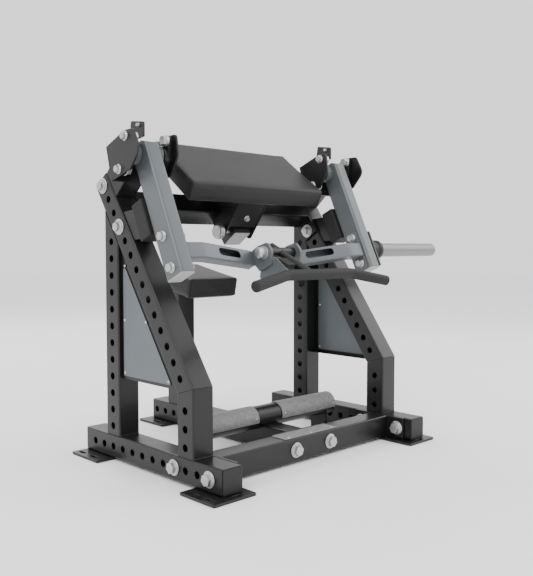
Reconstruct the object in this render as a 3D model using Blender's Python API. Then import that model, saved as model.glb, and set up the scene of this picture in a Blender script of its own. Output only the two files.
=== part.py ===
"""Hip thrust machine: a plate-loaded lever that a lying user lifts with the hips.

Units are metres, +Z is up and -Y is the front, where the lifting handle is.
"left" is the -X side. Every size below is from the middle of the base rails, on the
floor, in the frame's mid-plane. The last step moves the finished machine so that the
origin is under the middle of the centre foot plate.
The lever hangs from two pivots beside the back pad and rests on rubber bumpers.
"""
from math import cos, pi, radians, sin

import bmesh
import bpy
from mathutils import Matrix, Vector

# Clearances
GAP = 0.0003              # between touching pieces
SLIP = 0.0006             # the same on sloping joints, measured vertically
RUNNING = 0.00018         # radial clearance of a turning shaft

# Frame tube
TUBE = 0.070
HALF = TUBE / 2
FRAME_X = 0.405           # mid-plane of each side frame
HOLE_PITCH = 0.050
HOLE_RADIUS = 0.0105
HOLE_SIDES = 12
SHAFT_SIDES = 32
PLATE = 0.008

# Base
FOOT_THICK = PLATE - GAP
RAIL_Z = (PLATE, PLATE + TUBE)
RAIL_MID_Z = PLATE + HALF
RAIL_HALF_LENGTH = 0.325
RAIL_HOLES = 12
FRONT_BEAM_Y = -0.200
SPINE_END_Y = 0.541
CENTRE_FOOT_Y = (0.418, 0.560)
FLANGE_HALF = 0.100

# Side frames
POST_Y = -0.175
POST_HOLES_Z = (0.105, 0.155, 0.205)
UPRIGHT_Y = 0.175
UPRIGHT_FIRST_HOLE_Z = 0.1058
UPRIGHT_HOLES = 12
LEAN = radians(34.73)
DIAGONAL_TOP_HOLE = (0.18827, 0.78108)
DIAGONAL_HOLES = (0, 1, 3, 4, 5, 6, 7, 8, 9, 10, 11, 12)
DIAGONAL_TOP = -0.072
CORNER_CUT = 0.016

# Crossbeam that carries the back pad
CROSSBEAM_ALONG = 0.025
STUB_LENGTH = 0.080

# Pad carriage
PAD_HALF_WIDTH = 0.283
PAD_LEAN = radians(36.3)
PAD_FACE_BOTTOM = (-0.013, 0.829)
PAD_FACE_LENGTH = 0.237
PAD_THICK = 0.058
PAD_BEVEL = 0.018         # the pad's back is longer than its face by this at each end
BEAM_CLEAR = 0.003
YOKE_PLATE = 0.006
YOKE_INNER_X = 0.057
PIN_AT = (0.107, 0.690)
PIN_RADIUS = 0.006
KNOB_RADIUS = 0.025

# Seat
SEAT_HALF_WIDTH = 0.1045
SEAT_TOP_FRONT = (0.220, 0.532)
SEAT_PITCH = radians(11.7)
SEAT_LENGTH = 0.2318
SEAT_THICK = 0.068
SEAT_POST_Y = (0.380, 0.450)

# Foot tube
FOOT_TUBE_AT = (-0.016, 0.098)
FOOT_TUBE_RADIUS = 0.036
FOOT_TUBE_HALF = 0.312
SHELL_THICK = 0.0025
SHELL_X = ((-0.308, -0.053), (0.050, 0.308))
LEG_X = 0.262

# Lever
ARM_X = 0.405
ARM_HALF_WIDTH = 0.025
ARM_DEPTH = 0.075
ARM_LENGTH = 0.410
ARM_LEAN = radians(24.5)
ARM_FOOT = (-0.1520, 0.5733)
PIVOT_AT = (0.054, 0.903)
AXLE_RADIUS = 0.015
HUB_AT = (-0.125, 0.6235)
HUB_X = (-0.095, 0.020)
EAR_THICK = 0.008
V_TALL = 0.049
V_DEEP = 0.038
V_WALL = 0.003
V_ARM_X = 0.376
V_BEND_X = 0.317
V_BEND_MID = 0.071
V_BEND_FRONT = 0.0105
V_HUB_X = 0.103
V_HUB_MID = 0.061
V_HUB_FRONT = 0.0505
SLOT_X = {-1: 0.2095, 1: 0.1845}
SLOT_HALF = {-1: 0.036, 1: 0.047}
SLOT_RADIUS = 0.0115
HUB_PIN_RADIUS = 0.008
HORN_AT = (-0.090, 0.630)
HORN_RADIUS = 0.024
HORN_END_X = 0.824
COLLAR_RADIUS = 0.034
COLLAR_END_X = 0.485
HANDLE_MID = (-0.258, 0.560)
HANDLE_TIP = (-0.286, 0.533)
HANDLE_STRAIGHT = 0.139
HANDLE_END_X = 0.289
HANDLE_RADIUS = 0.016
STEM_RADIUS = 0.0135
STEM_X = -0.0375
STEM_TAIL = 0.040
SLEEVE_RADIUS = 0.0155

SIDES = {"left": -1, "right": 1}

BLACK = ((0.020, 0.020, 0.021), 0.45, 0.3)
GREY_BLUE = ((0.30, 0.33, 0.35), 0.40, 0.5)
STEEL = ((0.62, 0.62, 0.62), 0.28, 1.0)
GRIP_GREY = ((0.33, 0.33, 0.34), 0.70, 0.1)
VINYL = ((0.018, 0.018, 0.019), 0.55, 0.0)
RUBBER = ((0.025, 0.025, 0.025), 0.80, 0.0)


# ---------- slanted coordinates in the side view ----------

def in_diagonal(along, across):
    """Side-view point from the distance down a diagonal and towards its front face."""
    y, z = DIAGONAL_TOP_HOLE
    return (y - sin(LEAN) * along - cos(LEAN) * across,
            z - cos(LEAN) * along + sin(LEAN) * across)


def in_arm(along, depth):
    """Side-view point from the distance up a lever arm and behind its front face."""
    y, z = ARM_FOOT
    return (y + sin(ARM_LEAN) * along + cos(ARM_LEAN) * depth,
            z + cos(ARM_LEAN) * along - sin(ARM_LEAN) * depth)


def below_stem(along, below):
    """Side-view point from the distance out along the handle's stem and under its axis."""
    y, z = HUB_AT
    reach = Vector((HANDLE_MID[0] - y, HANDLE_MID[1] - z)).normalized()
    return (y + reach.x * along - reach.y * below, z + reach.y * along + reach.x * below)


def in_pad(along, depth):
    """Side-view point from the distance up the pad's face and behind it."""
    y, z = PAD_FACE_BOTTOM
    return (y + cos(PAD_LEAN) * along + sin(PAD_LEAN) * depth,
            z + sin(PAD_LEAN) * along - cos(PAD_LEAN) * depth)


def in_seat(along, depth):
    """Side-view point from the distance back along the seat's top and below it."""
    y, z = SEAT_TOP_FRONT
    return (y + cos(SEAT_PITCH) * along + sin(SEAT_PITCH) * depth,
            z + sin(SEAT_PITCH) * along - cos(SEAT_PITCH) * depth)


def diagonal_face_z(y, across):
    """Height of a line parallel to the diagonal, at a distance in front of its middle."""
    start_y, start_z = in_diagonal(0, across)
    return start_z + (y - start_y) * cos(LEAN) / sin(LEAN)


# ---------- solids ----------

def clear_scene():
    for obj in list(bpy.data.objects):
        bpy.data.objects.remove(obj, do_unlink=True)


def paint(obj, look):
    color, roughness, metallic = look
    material = bpy.data.materials.new(obj.name)
    material.use_nodes = True
    shader = material.node_tree.nodes["Principled BSDF"]
    shader.inputs["Base Color"].default_value = (*color, 1)
    shader.inputs["Roughness"].default_value = roughness
    shader.inputs["Metallic"].default_value = metallic
    obj.data.materials.append(material)


def from_bmesh(name, bm, look=None, smooth=False):
    bmesh.ops.recalc_face_normals(bm, faces=bm.faces)
    mesh = bpy.data.meshes.new(name)
    bm.to_mesh(mesh)
    bm.free()
    if smooth:
        mesh.shade_smooth()
        mesh.set_sharp_from_angle(angle=radians(35))
    obj = bpy.data.objects.new(name, mesh)
    bpy.context.scene.collection.objects.link(obj)
    if look:
        paint(obj, look)
    return obj


def slab(name, outline, x_range, look=None):
    """A side-view outline of (y, z) points, extruded along X."""
    low, high = sorted(x_range)
    bm = bmesh.new()
    face = bm.faces.new([bm.verts.new((low, y, z)) for y, z in outline])
    grown = bmesh.ops.extrude_face_region(bm, geom=[face])
    moved = [item for item in grown["geom"] if isinstance(item, bmesh.types.BMVert)]
    bmesh.ops.translate(bm, verts=moved, vec=(high - low, 0, 0))
    return from_bmesh(name, bm, look)


def block(name, x_range, y_range, z_range, look=None):
    (y0, y1), (z0, z1) = y_range, z_range
    return slab(name, [(y0, z0), (y1, z0), (y1, z1), (y0, z1)], x_range, look)


def rod(name, centre, radius, x_range, look=None, sides=SHAFT_SIDES):
    """A round bar along X through a side-view centre."""
    low, high = sorted(x_range)
    place = Matrix.Translation(((low + high) / 2, *centre)) @ Matrix.Rotation(pi / 2, 4, "Y")
    bm = bmesh.new()
    bmesh.ops.create_cone(bm, cap_ends=True, segments=sides, radius1=radius, radius2=radius,
                          depth=high - low, matrix=place)
    return from_bmesh(name, bm, look, smooth=True)


def bar_between(name, start, end, radius, look=None, sides=SHAFT_SIDES):
    """A round bar between two points."""
    start, end = Vector(start), Vector(end)
    along = end - start
    turn = along.to_track_quat("Z", "Y").to_matrix().to_4x4()
    bm = bmesh.new()
    bmesh.ops.create_cone(bm, cap_ends=True, segments=sides, radius1=radius, radius2=radius,
                          depth=along.length, matrix=Matrix.Translation((start + end) / 2) @ turn)
    return from_bmesh(name, bm, look, smooth=True)


def combine(obj, tool, operation):
    """Cut a tool from a solid or join it on, and hide the tool."""
    tool.hide_render = True
    tool.display_type = "WIRE"
    modifier = obj.modifiers.new(tool.name, "BOOLEAN")
    modifier.operation = operation
    modifier.solver = "EXACT"
    modifier.object = tool


def cut(obj, tool):
    combine(obj, tool, "DIFFERENCE")


def join(obj, tool):
    combine(obj, tool, "UNION")


def drill(obj, centres, x_range, radius=HOLE_RADIUS, sides=HOLE_SIDES):
    """Through holes along X at side-view centres."""
    low, high = sorted(x_range)
    turn = Matrix.Rotation(pi / 2, 4, "Y")
    bm = bmesh.new()
    for centre in centres:
        place = Matrix.Translation(((low + high) / 2, *centre)) @ turn
        bmesh.ops.create_cone(bm, cap_ends=True, segments=sides, radius1=radius, radius2=radius,
                              depth=high - low + 0.02, matrix=place)
    cut(obj, from_bmesh(obj.name + "_drill", bm))


def side_range(side, near, far):
    """The x range of a piece between two distances from the mid-plane."""
    return tuple(sorted((side * near, side * far)))


def frame_range(side):
    return side_range(side, FRAME_X - HALF, FRAME_X + HALF)


def square_on_diagonal(along_range, across_range):
    (a0, a1), (c0, c1) = along_range, across_range
    return [in_diagonal(a0, c0), in_diagonal(a1, c0), in_diagonal(a1, c1), in_diagonal(a0, c1)]


# ---------- base ----------

def make_base_rail(word, side):
    rail = block("base_rail_" + word, frame_range(side), (-RAIL_HALF_LENGTH, RAIL_HALF_LENGTH),
                 RAIL_Z, BLACK)
    first = (RAIL_HOLES - 1) / 2 * HOLE_PITCH
    drill(rail, [(first - HOLE_PITCH * i, RAIL_MID_Z) for i in range(RAIL_HOLES)], frame_range(side))


def make_foot_plates():
    floor = (0, FOOT_THICK)
    block("foot_plate_front_left", (-0.492, -0.348), (-0.356, -0.215), floor, BLACK)
    block("foot_plate_rear_left", (-0.493, -0.340), (0.182, 0.328), floor, BLACK)
    block("foot_plate_front_right", (0.336, 0.468), (-0.350, -0.215), floor, BLACK)
    block("foot_plate_rear_right", (0.321, 0.473), (0.182, 0.334), floor, BLACK)
    block("foot_plate_centre", (-0.085, 0.085), CENTRE_FOOT_Y, floor, BLACK)


def make_front_cross_member():
    inner = FRAME_X - HALF - GAP
    beam = block("front_cross_member", (-inner, inner),
                 (FRONT_BEAM_Y - HALF, FRONT_BEAM_Y + HALF), RAIL_Z, BLACK)
    for word, side in SIDES.items():
        flange = block("cross_member_flange_" + word, side_range(side, inner - PLATE, inner),
                       (FRONT_BEAM_Y - FLANGE_HALF, FRONT_BEAM_Y + FLANGE_HALF), RAIL_Z)
        join(beam, flange)


def make_grip_plate():
    top = RAIL_Z[1] + GAP
    block("grip_plate", (-0.115, 0.115), (FRONT_BEAM_Y - 0.030, FRONT_BEAM_Y + 0.029),
          (top, top + 0.002), GRIP_GREY)


def make_centre_spine():
    front = FRONT_BEAM_Y + HALF + GAP
    spine = block("centre_spine", (-HALF, HALF), (front, SPINE_END_Y), RAIL_Z, BLACK)
    flange = block("spine_flange", (-FLANGE_HALF, FLANGE_HALF), (front, front + PLATE), RAIL_Z)
    join(spine, flange)
    seat_for_tube = rod("spine_saddle_cut", FOOT_TUBE_AT, FOOT_TUBE_RADIUS + GAP, (-0.05, 0.05))
    cut(spine, seat_for_tube)
    first = SPINE_END_Y - HOLE_PITCH / 2
    drill(spine, [(first - HOLE_PITCH * i, RAIL_MID_Z) for i in range(9)], (-HALF, HALF))


# ---------- side frames ----------

def make_front_post(word, side):
    front, back = POST_Y - HALF, POST_Y + HALF
    base = RAIL_Z[1] + GAP
    outline = [(front, base), (back, base),
               (back, diagonal_face_z(back, -HALF) - SLIP), (front, diagonal_face_z(front, HALF) - SLIP)]
    post = slab("front_post_" + word, outline, frame_range(side), BLACK)
    drill(post, [(POST_Y, z) for z in POST_HOLES_Z], frame_range(side))


def make_rear_upright(word, side):
    front, back = UPRIGHT_Y - HALF, UPRIGHT_Y + HALF
    base = RAIL_Z[1] + GAP
    outline = [(front, base), (back, base),
               (back, diagonal_face_z(back, -HALF) - SLIP), (front, diagonal_face_z(front, -HALF) - SLIP)]
    upright = slab("rear_upright_" + word, outline, frame_range(side), BLACK)
    heights = [UPRIGHT_FIRST_HOLE_Z + HOLE_PITCH * i for i in range(UPRIGHT_HOLES)]
    drill(upright, [(UPRIGHT_Y, z) for z in heights], frame_range(side))


def make_diagonal(word, side):
    front, back = POST_Y - HALF, POST_Y + HALF
    outline = [(front, diagonal_face_z(front, HALF)), (back, diagonal_face_z(back, -HALF)),
               in_diagonal(DIAGONAL_TOP + CORNER_CUT, -HALF), in_diagonal(DIAGONAL_TOP, CORNER_CUT - HALF),
               in_diagonal(DIAGONAL_TOP, HALF)]
    diagonal = slab("diagonal_" + word, outline, frame_range(side), BLACK)
    drill(diagonal, [in_diagonal(HOLE_PITCH * i, 0) for i in DIAGONAL_HOLES], frame_range(side))


def make_side_panel(word, side):
    """Sheet that fills the triangle behind the diagonal, near the outer face."""
    inset = 0.0004
    back = UPRIGHT_Y - HALF - inset
    bottom = 0.252
    clear = -HALF - inset
    top = diagonal_face_z(back, clear)
    front = back - (top - bottom) * sin(LEAN) / cos(LEAN)
    outline = [(front, bottom), (back, bottom), (back, top)]
    slab("side_panel_" + word, outline, side_range(side, 0.428, 0.431), GREY_BLUE)


# ---------- top of the frame ----------

def make_top_crossbeam():
    inner = FRAME_X - HALF - GAP
    middle = CROSSBEAM_ALONG
    beam = slab("top_crossbeam", square_on_diagonal((middle - HALF, middle + HALF), (-HALF, HALF)),
                (-inner, inner), BLACK)
    for word, side in SIDES.items():
        outline = square_on_diagonal((middle - FLANGE_HALF, middle + FLANGE_HALF), (-HALF, HALF))
        join(beam, slab("crossbeam_flange_" + word, outline, side_range(side, inner - PLATE, inner)))
    stub_start = middle + HALF - 0.005
    stub_end = middle + HALF + STUB_LENGTH
    join(beam, slab("pad_stub", square_on_diagonal((stub_start, stub_end), (-HALF, HALF)), (-HALF, HALF)))


PLATE_REAR_TOP = (0.125, 0.929)
PLATE_REAR_BOTTOM = (0.099, 0.829)


def pivot_outline():
    """Outline of a pivot plate: straight back and bottom, rounded nose."""
    return [PLATE_REAR_TOP, PLATE_REAR_BOTTOM, (0.022, 0.853), (-0.014, 0.889), (-0.020, 0.912),
            (-0.016, 0.934), (-0.004, 0.951), (0.012, 0.961), (0.040, 0.964)]


OUTER_PLATE_X = (0.475, 0.481)
INNER_PLATE_X = (0.321, 0.327)


def inner_outline():
    """The inner plate has a shorter nose than the outer one."""
    return [PLATE_REAR_TOP, PLATE_REAR_BOTTOM, (0.040, 0.846), (0.026, 0.858), (0.009, 0.890), (0.002, 0.912),
            (0.0015, 0.934), (0.007, 0.950), (0.019, 0.961), (0.040, 0.964)]


def make_pivot_plates(word, side):
    slab("pivot_plate_outer_" + word, pivot_outline(), side_range(side, *OUTER_PLATE_X), BLACK)
    slab("pivot_plate_inner_" + word, inner_outline(), side_range(side, *INNER_PLATE_X), BLACK)


def make_pivot_mount(word, side):
    """Bridge behind the pivot plates and the box that stands it on the diagonal."""
    top, bottom = Vector(PLATE_REAR_TOP), Vector(PLATE_REAR_BOTTOM)
    up = (top - bottom).normalized()
    back = Vector((up.y, -up.x))
    near, far = bottom + back * GAP, top + back * GAP
    outline = [near, far, far + back * PLATE, near + back * PLATE]
    mount = slab("pivot_mount_" + word, outline, side_range(side, INNER_PLATE_X[0], OUTER_PLATE_X[1]), BLACK)
    face = HALF + GAP
    foot = [in_diagonal(0.016, face), in_diagonal(DIAGONAL_TOP, face)]
    box = [near + back * 0.006, foot[0], foot[1], far + back * 0.006]
    join(mount, slab("mount_box_" + word, box, side_range(side, 0.372, 0.438)))


def make_limiter_tab(word, side):
    """Upright plate behind each arm's top end."""
    outline = [(0.1265, 0.9355), (0.117, 1.006), (0.055, 0.998), (0.055, 0.956), (0.106, 0.948)]
    slab("limiter_tab_" + word, outline, side_range(side, 0.400, 0.406), BLACK)


def make_pivot_bearings(word, side):
    """Two-bolt flange bearings between the pivot plates and the arm."""
    ears = [(0.038, 0.948), (0.070, 0.858)]
    ranges = {"outer": (0.447, OUTER_PLATE_X[0] - GAP), "inner": (INNER_PLATE_X[1] + GAP, 0.355)}
    for place, (near, far) in ranges.items():
        x_range = side_range(side, near, far)
        body = rod("pivot_bearing_%s_%s" % (place, word), PIVOT_AT, 0.031, x_range, BLACK)
        foot_range = side_range(side, far - 0.014, far) if place == "outer" else \
            side_range(side, near, near + 0.014)
        join(body, slab(body.name + "_flange", ear_outline(ears, PIVOT_AT, 0.016, 0.031), foot_range))
        drill(body, [PIVOT_AT], x_range, AXLE_RADIUS + RUNNING, SHAFT_SIDES)


def ear_outline(ears, middle, ear_radius, waist):
    """Rhombus-like flange: a round ear at each bolt and a waist at the middle."""
    top, bottom = Vector(ears[0]), Vector(ears[1])
    up = (top - bottom).normalized()
    across = Vector((up.y, -up.x))
    centre = Vector(middle)
    points = [centre + across * waist]
    for ear, direction in ((top, up), (bottom, -up)):
        side = across if direction == up else -across
        for step in range(7):
            angle = radians(15 + 25 * step)
            points.append(ear + side * ear_radius * cos(angle) + direction * ear_radius * sin(angle))
        points.append(centre - side * waist)
    return [tuple(point) for point in points[:-1]]


def make_bumper(word, side):
    """Rubber block that the arm rests on, and its bracket on the diagonal."""
    face = ARM_DEPTH + GAP
    low, high = 0.146, 0.259
    depth = 0.051
    outline = [in_arm(low, face), in_arm(high, face), in_arm(high, face + depth), in_arm(low, face + depth)]
    slab("bumper_" + word, outline, frame_range(side), RUBBER)
    back = face + depth + GAP
    lower, upper = in_arm(low + 0.010, back), in_arm(high - 0.010, back)
    front = HALF + GAP
    bracket = [lower, in_diagonal(0.172, front), in_diagonal(0.072, front), upper]
    slab("bumper_bracket_" + word, bracket, side_range(side, 0.375, 0.435), BLACK)


# ---------- foot tube ----------

def make_foot_tube():
    rod("foot_tube", FOOT_TUBE_AT, FOOT_TUBE_RADIUS, (-FOOT_TUBE_HALF, FOOT_TUBE_HALF), BLACK)
    for (word, side), x_range in zip(SIDES.items(), SHELL_X):
        make_foot_shell(word, x_range)
        make_foot_tube_leg(word, side)


def make_foot_shell(word, x_range):
    """Grip cover that wraps the front and top of the tube."""
    inner = FOOT_TUBE_RADIUS + GAP
    outer = inner + SHELL_THICK
    angles = [radians(15 + 180 * step / 16) for step in range(17)]
    y, z = FOOT_TUBE_AT
    outline = [(y + inner * cos(a), z + inner * sin(a)) for a in angles]
    outline += [(y + outer * cos(a), z + outer * sin(a)) for a in reversed(angles)]
    slab("foot_shell_" + word, outline, x_range, GRIP_GREY)


def make_foot_tube_leg(word, side):
    y, z = FOOT_TUBE_AT
    x_range = side_range(side, LEG_X, LEG_X + PLATE)
    leg = block("foot_tube_leg_" + word, x_range, (y - 0.033, y + 0.034), (0, z - 0.012), BLACK)
    cut(leg, rod("leg_cut_" + word, FOOT_TUBE_AT, FOOT_TUBE_RADIUS + GAP, side_range(side, 0.2, 0.3)))


# ---------- seat ----------

def make_seat():
    slab("seat_pad", [in_seat(0, 0), in_seat(0, SEAT_THICK), in_seat(SEAT_LENGTH, SEAT_THICK),
                      in_seat(SEAT_LENGTH, 0)], (-SEAT_HALF_WIDTH, SEAT_HALF_WIDTH), VINYL)
    top = SEAT_THICK + GAP
    under = top + 0.006
    slab("seat_bracket", [in_seat(0.040, top), in_seat(0.040, under), in_seat(0.215, under),
                          in_seat(0.215, top)], (-0.060, 0.060), BLACK)
    front, back = SEAT_POST_Y
    base = RAIL_Z[1] + GAP
    start_y, start_z = in_seat(0, under)
    slope = sin(SEAT_PITCH) / cos(SEAT_PITCH)
    heights = [start_z + (y - start_y) * slope - GAP for y in (front, back)]
    slab("seat_post", [(front, base), (back, base), (back, heights[1]), (front, heights[0])],
         (-HALF, HALF), BLACK)


# ---------- pad carriage ----------

def carriage_origin():
    """Empty at the stub's end: the pad carriage slides along the stub from here."""
    anchor = bpy.data.objects.new("pad_carriage", None)
    anchor.location = (0, *in_diagonal(CROSSBEAM_ALONG + HALF + STUB_LENGTH, 0))
    bpy.context.scene.collection.objects.link(anchor)
    return anchor


def hang(obj, anchor):
    """Parent a piece to an empty and leave it where it is."""
    obj.parent = anchor
    obj.matrix_parent_inverse = Matrix.Translation(-anchor.location)


def make_back_pad():
    outline = [in_pad(-0.005, -0.002), in_pad(-PAD_BEVEL, PAD_THICK),
               in_pad(PAD_FACE_LENGTH + PAD_BEVEL, PAD_THICK),
               in_pad(PAD_FACE_LENGTH, 0)]
    return slab("back_pad", outline, (-PAD_HALF_WIDTH, PAD_HALF_WIDTH), VINYL)


def make_pad_yoke():
    """Channel that straddles the stub: a base under the pad, two cheeks and a web."""
    top = PAD_THICK + GAP
    base = [in_pad(0, top), in_pad(0.150, top), in_pad(0.150, top + YOKE_PLATE), in_pad(0, top + YOKE_PLATE)]
    yoke = slab("pad_yoke", base, (-0.095, 0.095), BLACK)
    weld = top + YOKE_PLATE / 2
    under_beam = CROSSBEAM_ALONG + HALF + BEAM_CLEAR
    front_of_beam = HALF + BEAM_CLEAR
    cheek = [in_pad(0.004, weld), in_pad(0.004, 0.200), in_pad(0.012, 0.208), in_pad(0.034, 0.208),
             in_diagonal(under_beam, -0.010), in_diagonal(under_beam, front_of_beam),
             in_diagonal(-0.008, front_of_beam), in_pad(0.140, weld)]
    outer_x = YOKE_INNER_X + YOKE_PLATE
    for word, side in SIDES.items():
        join(yoke, slab("yoke_cheek_" + word, cheek, side_range(side, YOKE_INNER_X, outer_x)))
    web = [in_pad(0.006, weld), in_pad(0.006, 0.158), in_pad(0.012, 0.158), in_pad(0.012, weld)]
    join(yoke, slab("yoke_web", web, (-YOKE_INNER_X - 0.003, YOKE_INNER_X + 0.003)))
    drill(yoke, [PIN_AT], (-outer_x, -YOKE_INNER_X), PIN_RADIUS + GAP, SHAFT_SIDES)
    return yoke


def make_pull_pin():
    """Spring pin with a round knob: it leaves the stub when it is pulled outwards."""
    outer_x = YOKE_INNER_X + YOKE_PLATE
    pin = rod("pull_pin", PIN_AT, KNOB_RADIUS, (-0.092, -outer_x - 0.008), STEEL)
    join(pin, rod("pin_shaft", PIN_AT, PIN_RADIUS, (-outer_x - 0.010, -HALF - GAP)))
    join(pin, rod("pin_collar", PIN_AT, 0.010, (-outer_x - 0.010, -outer_x - GAP)))
    return pin


# ---------- lever ----------

def lever_origin():
    """Empty on the lever's pivot axis."""
    anchor = bpy.data.objects.new("lever", None)
    anchor.location = (0, *PIVOT_AT)
    bpy.context.scene.collection.objects.link(anchor)
    return anchor


def make_lever_arm(word, side):
    x_range = side_range(side, ARM_X - ARM_HALF_WIDTH, ARM_X + ARM_HALF_WIDTH)
    outline = [in_arm(0, 0), in_arm(0, ARM_DEPTH), in_arm(ARM_LENGTH - 0.014, ARM_DEPTH),
               in_arm(ARM_LENGTH, ARM_DEPTH - 0.014), in_arm(ARM_LENGTH, 0.016),
               in_arm(ARM_LENGTH - 0.012, 0)]
    arm = slab("lever_arm_" + word, outline, x_range, GREY_BLUE)
    drill(arm, [PIVOT_AT], x_range, AXLE_RADIUS + GAP, SHAFT_SIDES)
    return arm


def make_pivot_axle(word, side):
    ends = (INNER_PLATE_X[1] + 0.002, OUTER_PLATE_X[0] - 0.002)
    return rod("pivot_axle_" + word, PIVOT_AT, AXLE_RADIUS, side_range(side, *ends), STEEL)


def v_bar_mesh(name, side, ear_x):
    """Bent box from an arm, straight out and then back towards the hub."""
    slope = (V_BEND_MID - V_HUB_MID) / (V_BEND_X - V_HUB_X)
    sweep = (V_HUB_FRONT - V_BEND_FRONT) / (V_BEND_X - V_HUB_X)
    stations = [(V_ARM_X, V_BEND_MID, V_BEND_FRONT), (V_BEND_X, V_BEND_MID, V_BEND_FRONT),
                (ear_x, V_HUB_MID - slope * (V_HUB_X - ear_x), V_HUB_FRONT + sweep * (V_HUB_X - ear_x))]
    bm = bmesh.new()
    rings = []
    for x, middle, front in stations:
        low, high, rear = middle - V_TALL / 2, middle + V_TALL / 2, front + V_DEEP
        ring = [in_arm(low, front), in_arm(high, front), in_arm(high, rear), in_arm(low, rear)]
        rings.append([bm.verts.new((side * x, y, z)) for y, z in ring])
    bm.faces.new(rings[0])
    bm.faces.new(rings[-1])
    for near, far in zip(rings, rings[1:]):
        for i in range(4):
            j = (i + 1) % 4
            bm.faces.new((near[i], near[j], far[j], far[i]))
    return from_bmesh(name, bm, GREY_BLUE)


def hub_ear():
    """Side view of an ear: rounded nose round the hub, and a corner that points down."""
    return [in_arm(0.045, 0.075), (-0.0877, 0.5837), (-0.1065, 0.567), (-0.1547, 0.5875), (-0.155, 0.605),
            (-0.153, 0.618), (-0.144, 0.642), (-0.133, 0.651), (-0.117, 0.651), (-0.098, 0.643),
            in_arm(0.080, 0.075)]


def make_v_bar(word, side):
    """The clevis for the handle sits left of the middle, so the right bar is the longer one."""
    ear = (HUB_X[0] - EAR_THICK, HUB_X[0]) if side < 0 else (HUB_X[1], HUB_X[1] + EAR_THICK)
    bar = v_bar_mesh("v_bar_" + word, side, abs(ear[0]) if side < 0 else ear[1])
    flange = [in_arm(0.004, 0.014), in_arm(0.140, 0.014), in_arm(0.140, 0.066), in_arm(0.004, 0.066)]
    arm_inner = ARM_X - ARM_HALF_WIDTH - GAP
    join(bar, slab("v_bar_flange_" + word, flange, side_range(side, V_ARM_X - 0.001, arm_inner)))
    join(bar, slab("v_bar_ear_" + word, hub_ear(), ear))
    cut(bar, slot_cutter("v_bar_slot_" + word, side))
    drill(bar, [HUB_AT], ear, HUB_PIN_RADIUS + GAP, SHAFT_SIDES)
    return bar


def slot_cutter(name, side):
    """Long pocket with round ends in the front of a V-bar."""
    centre, half = SLOT_X[side], SLOT_HALF[side]
    slope = (V_BEND_MID - V_HUB_MID) / (V_BEND_X - V_HUB_X)
    middle = V_HUB_MID + slope * (centre - V_HUB_X) + 0.003
    points = []
    for end in (1, -1):
        for step in range(7):
            angle = radians(-90 + 30 * step)
            x = end * (half + SLOT_RADIUS * cos(angle))
            along = end * SLOT_RADIUS * sin(angle) + slope * x
            points.append((centre + x, middle + along))
    sweep = (V_HUB_FRONT - V_BEND_FRONT) / (V_BEND_X - V_HUB_X)
    floor = V_BEND_FRONT + V_DEEP - V_WALL
    bm = bmesh.new()
    near = [bm.verts.new((side * x, *in_arm(along, -0.010))) for x, along in points]
    far = [bm.verts.new((side * x, *in_arm(along, floor + sweep * (V_BEND_X - x)))) for x, along in points]
    bm.faces.new(near)
    bm.faces.new(far)
    count = len(points)
    for i in range(count):
        j = (i + 1) % count
        bm.faces.new((near[i], near[j], far[j], far[i]))
    return from_bmesh(name, bm)


def make_hub_pin():
    return rod("hub_pin", HUB_AT, HUB_PIN_RADIUS, (HUB_X[0] - 0.031, HUB_X[1] + 0.026), STEEL)


def make_handle_stop():
    """Bracket on the left ear: the stem rests on its shelf."""
    under = STEM_RADIUS + GAP
    shelf = [below_stem(0.045, under), below_stem(0.095, under),
             below_stem(0.095, under + 0.006), below_stem(0.045, under + 0.006)]
    inner = HUB_X[0] + GAP
    stop = slab("handle_stop", shelf, (inner + 0.003, STEM_X + STEM_RADIUS), GREY_BLUE)
    cheek = [(-0.1010, 0.5651), (-0.0985, 0.5469), (-0.150, 0.538), (-0.190, 0.552), (-0.214, 0.572),
             (-0.2155, 0.577), (-0.1754, 0.6034), (-0.165, 0.6075), (-0.1394, 0.5920)]
    join(stop, slab("stop_cheek", cheek, (inner, inner + 0.006)))
    return stop


def make_weight_horn():
    arm_outer = ARM_X + ARM_HALF_WIDTH + GAP
    plate = [in_arm(0.006, 0), in_arm(0.136, 0), in_arm(0.136, ARM_DEPTH), in_arm(0.006, ARM_DEPTH)]
    mount = slab("horn_mount", plate, (arm_outer, arm_outer + PLATE), BLACK)
    join(mount, rod("horn_collar", HORN_AT, COLLAR_RADIUS, (arm_outer + 0.004, COLLAR_END_X - GAP)))
    sleeve = rod("horn_sleeve", HORN_AT, HORN_RADIUS, (COLLAR_END_X, HORN_END_X), STEEL)
    return [mount, sleeve]


# ---------- handle ----------

def handle_origin():
    """Empty on the handle's folding axis."""
    anchor = bpy.data.objects.new("handle", None)
    anchor.location = (0, *HUB_AT)
    bpy.context.scene.collection.objects.link(anchor)
    return anchor


def make_handle_stem():
    stem = rod("handle_stem", HUB_AT, SLEEVE_RADIUS, (HUB_X[0] + GAP, HUB_X[1] - GAP), BLACK)
    y, z = HUB_AT
    end_y, end_z = HANDLE_MID
    reach = Vector((end_y - y, end_z - z)).normalized()
    stop_y, stop_z = Vector((end_y, end_z)) - reach * (HANDLE_RADIUS - 0.004)
    back_y, back_z = Vector((y, z)) - reach * STEM_TAIL
    join(stem, bar_between("stem_bar", (STEM_X, back_y, back_z), (STEM_X, stop_y, stop_z), STEM_RADIUS))
    cut(stem, rod("stem_end_cut", HANDLE_MID, HANDLE_RADIUS + GAP, (-0.09, 0.02)))
    cut(stem, rod("stem_bore", HUB_AT, HUB_PIN_RADIUS + RUNNING, (-0.12, 0.12)))
    return stem


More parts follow.
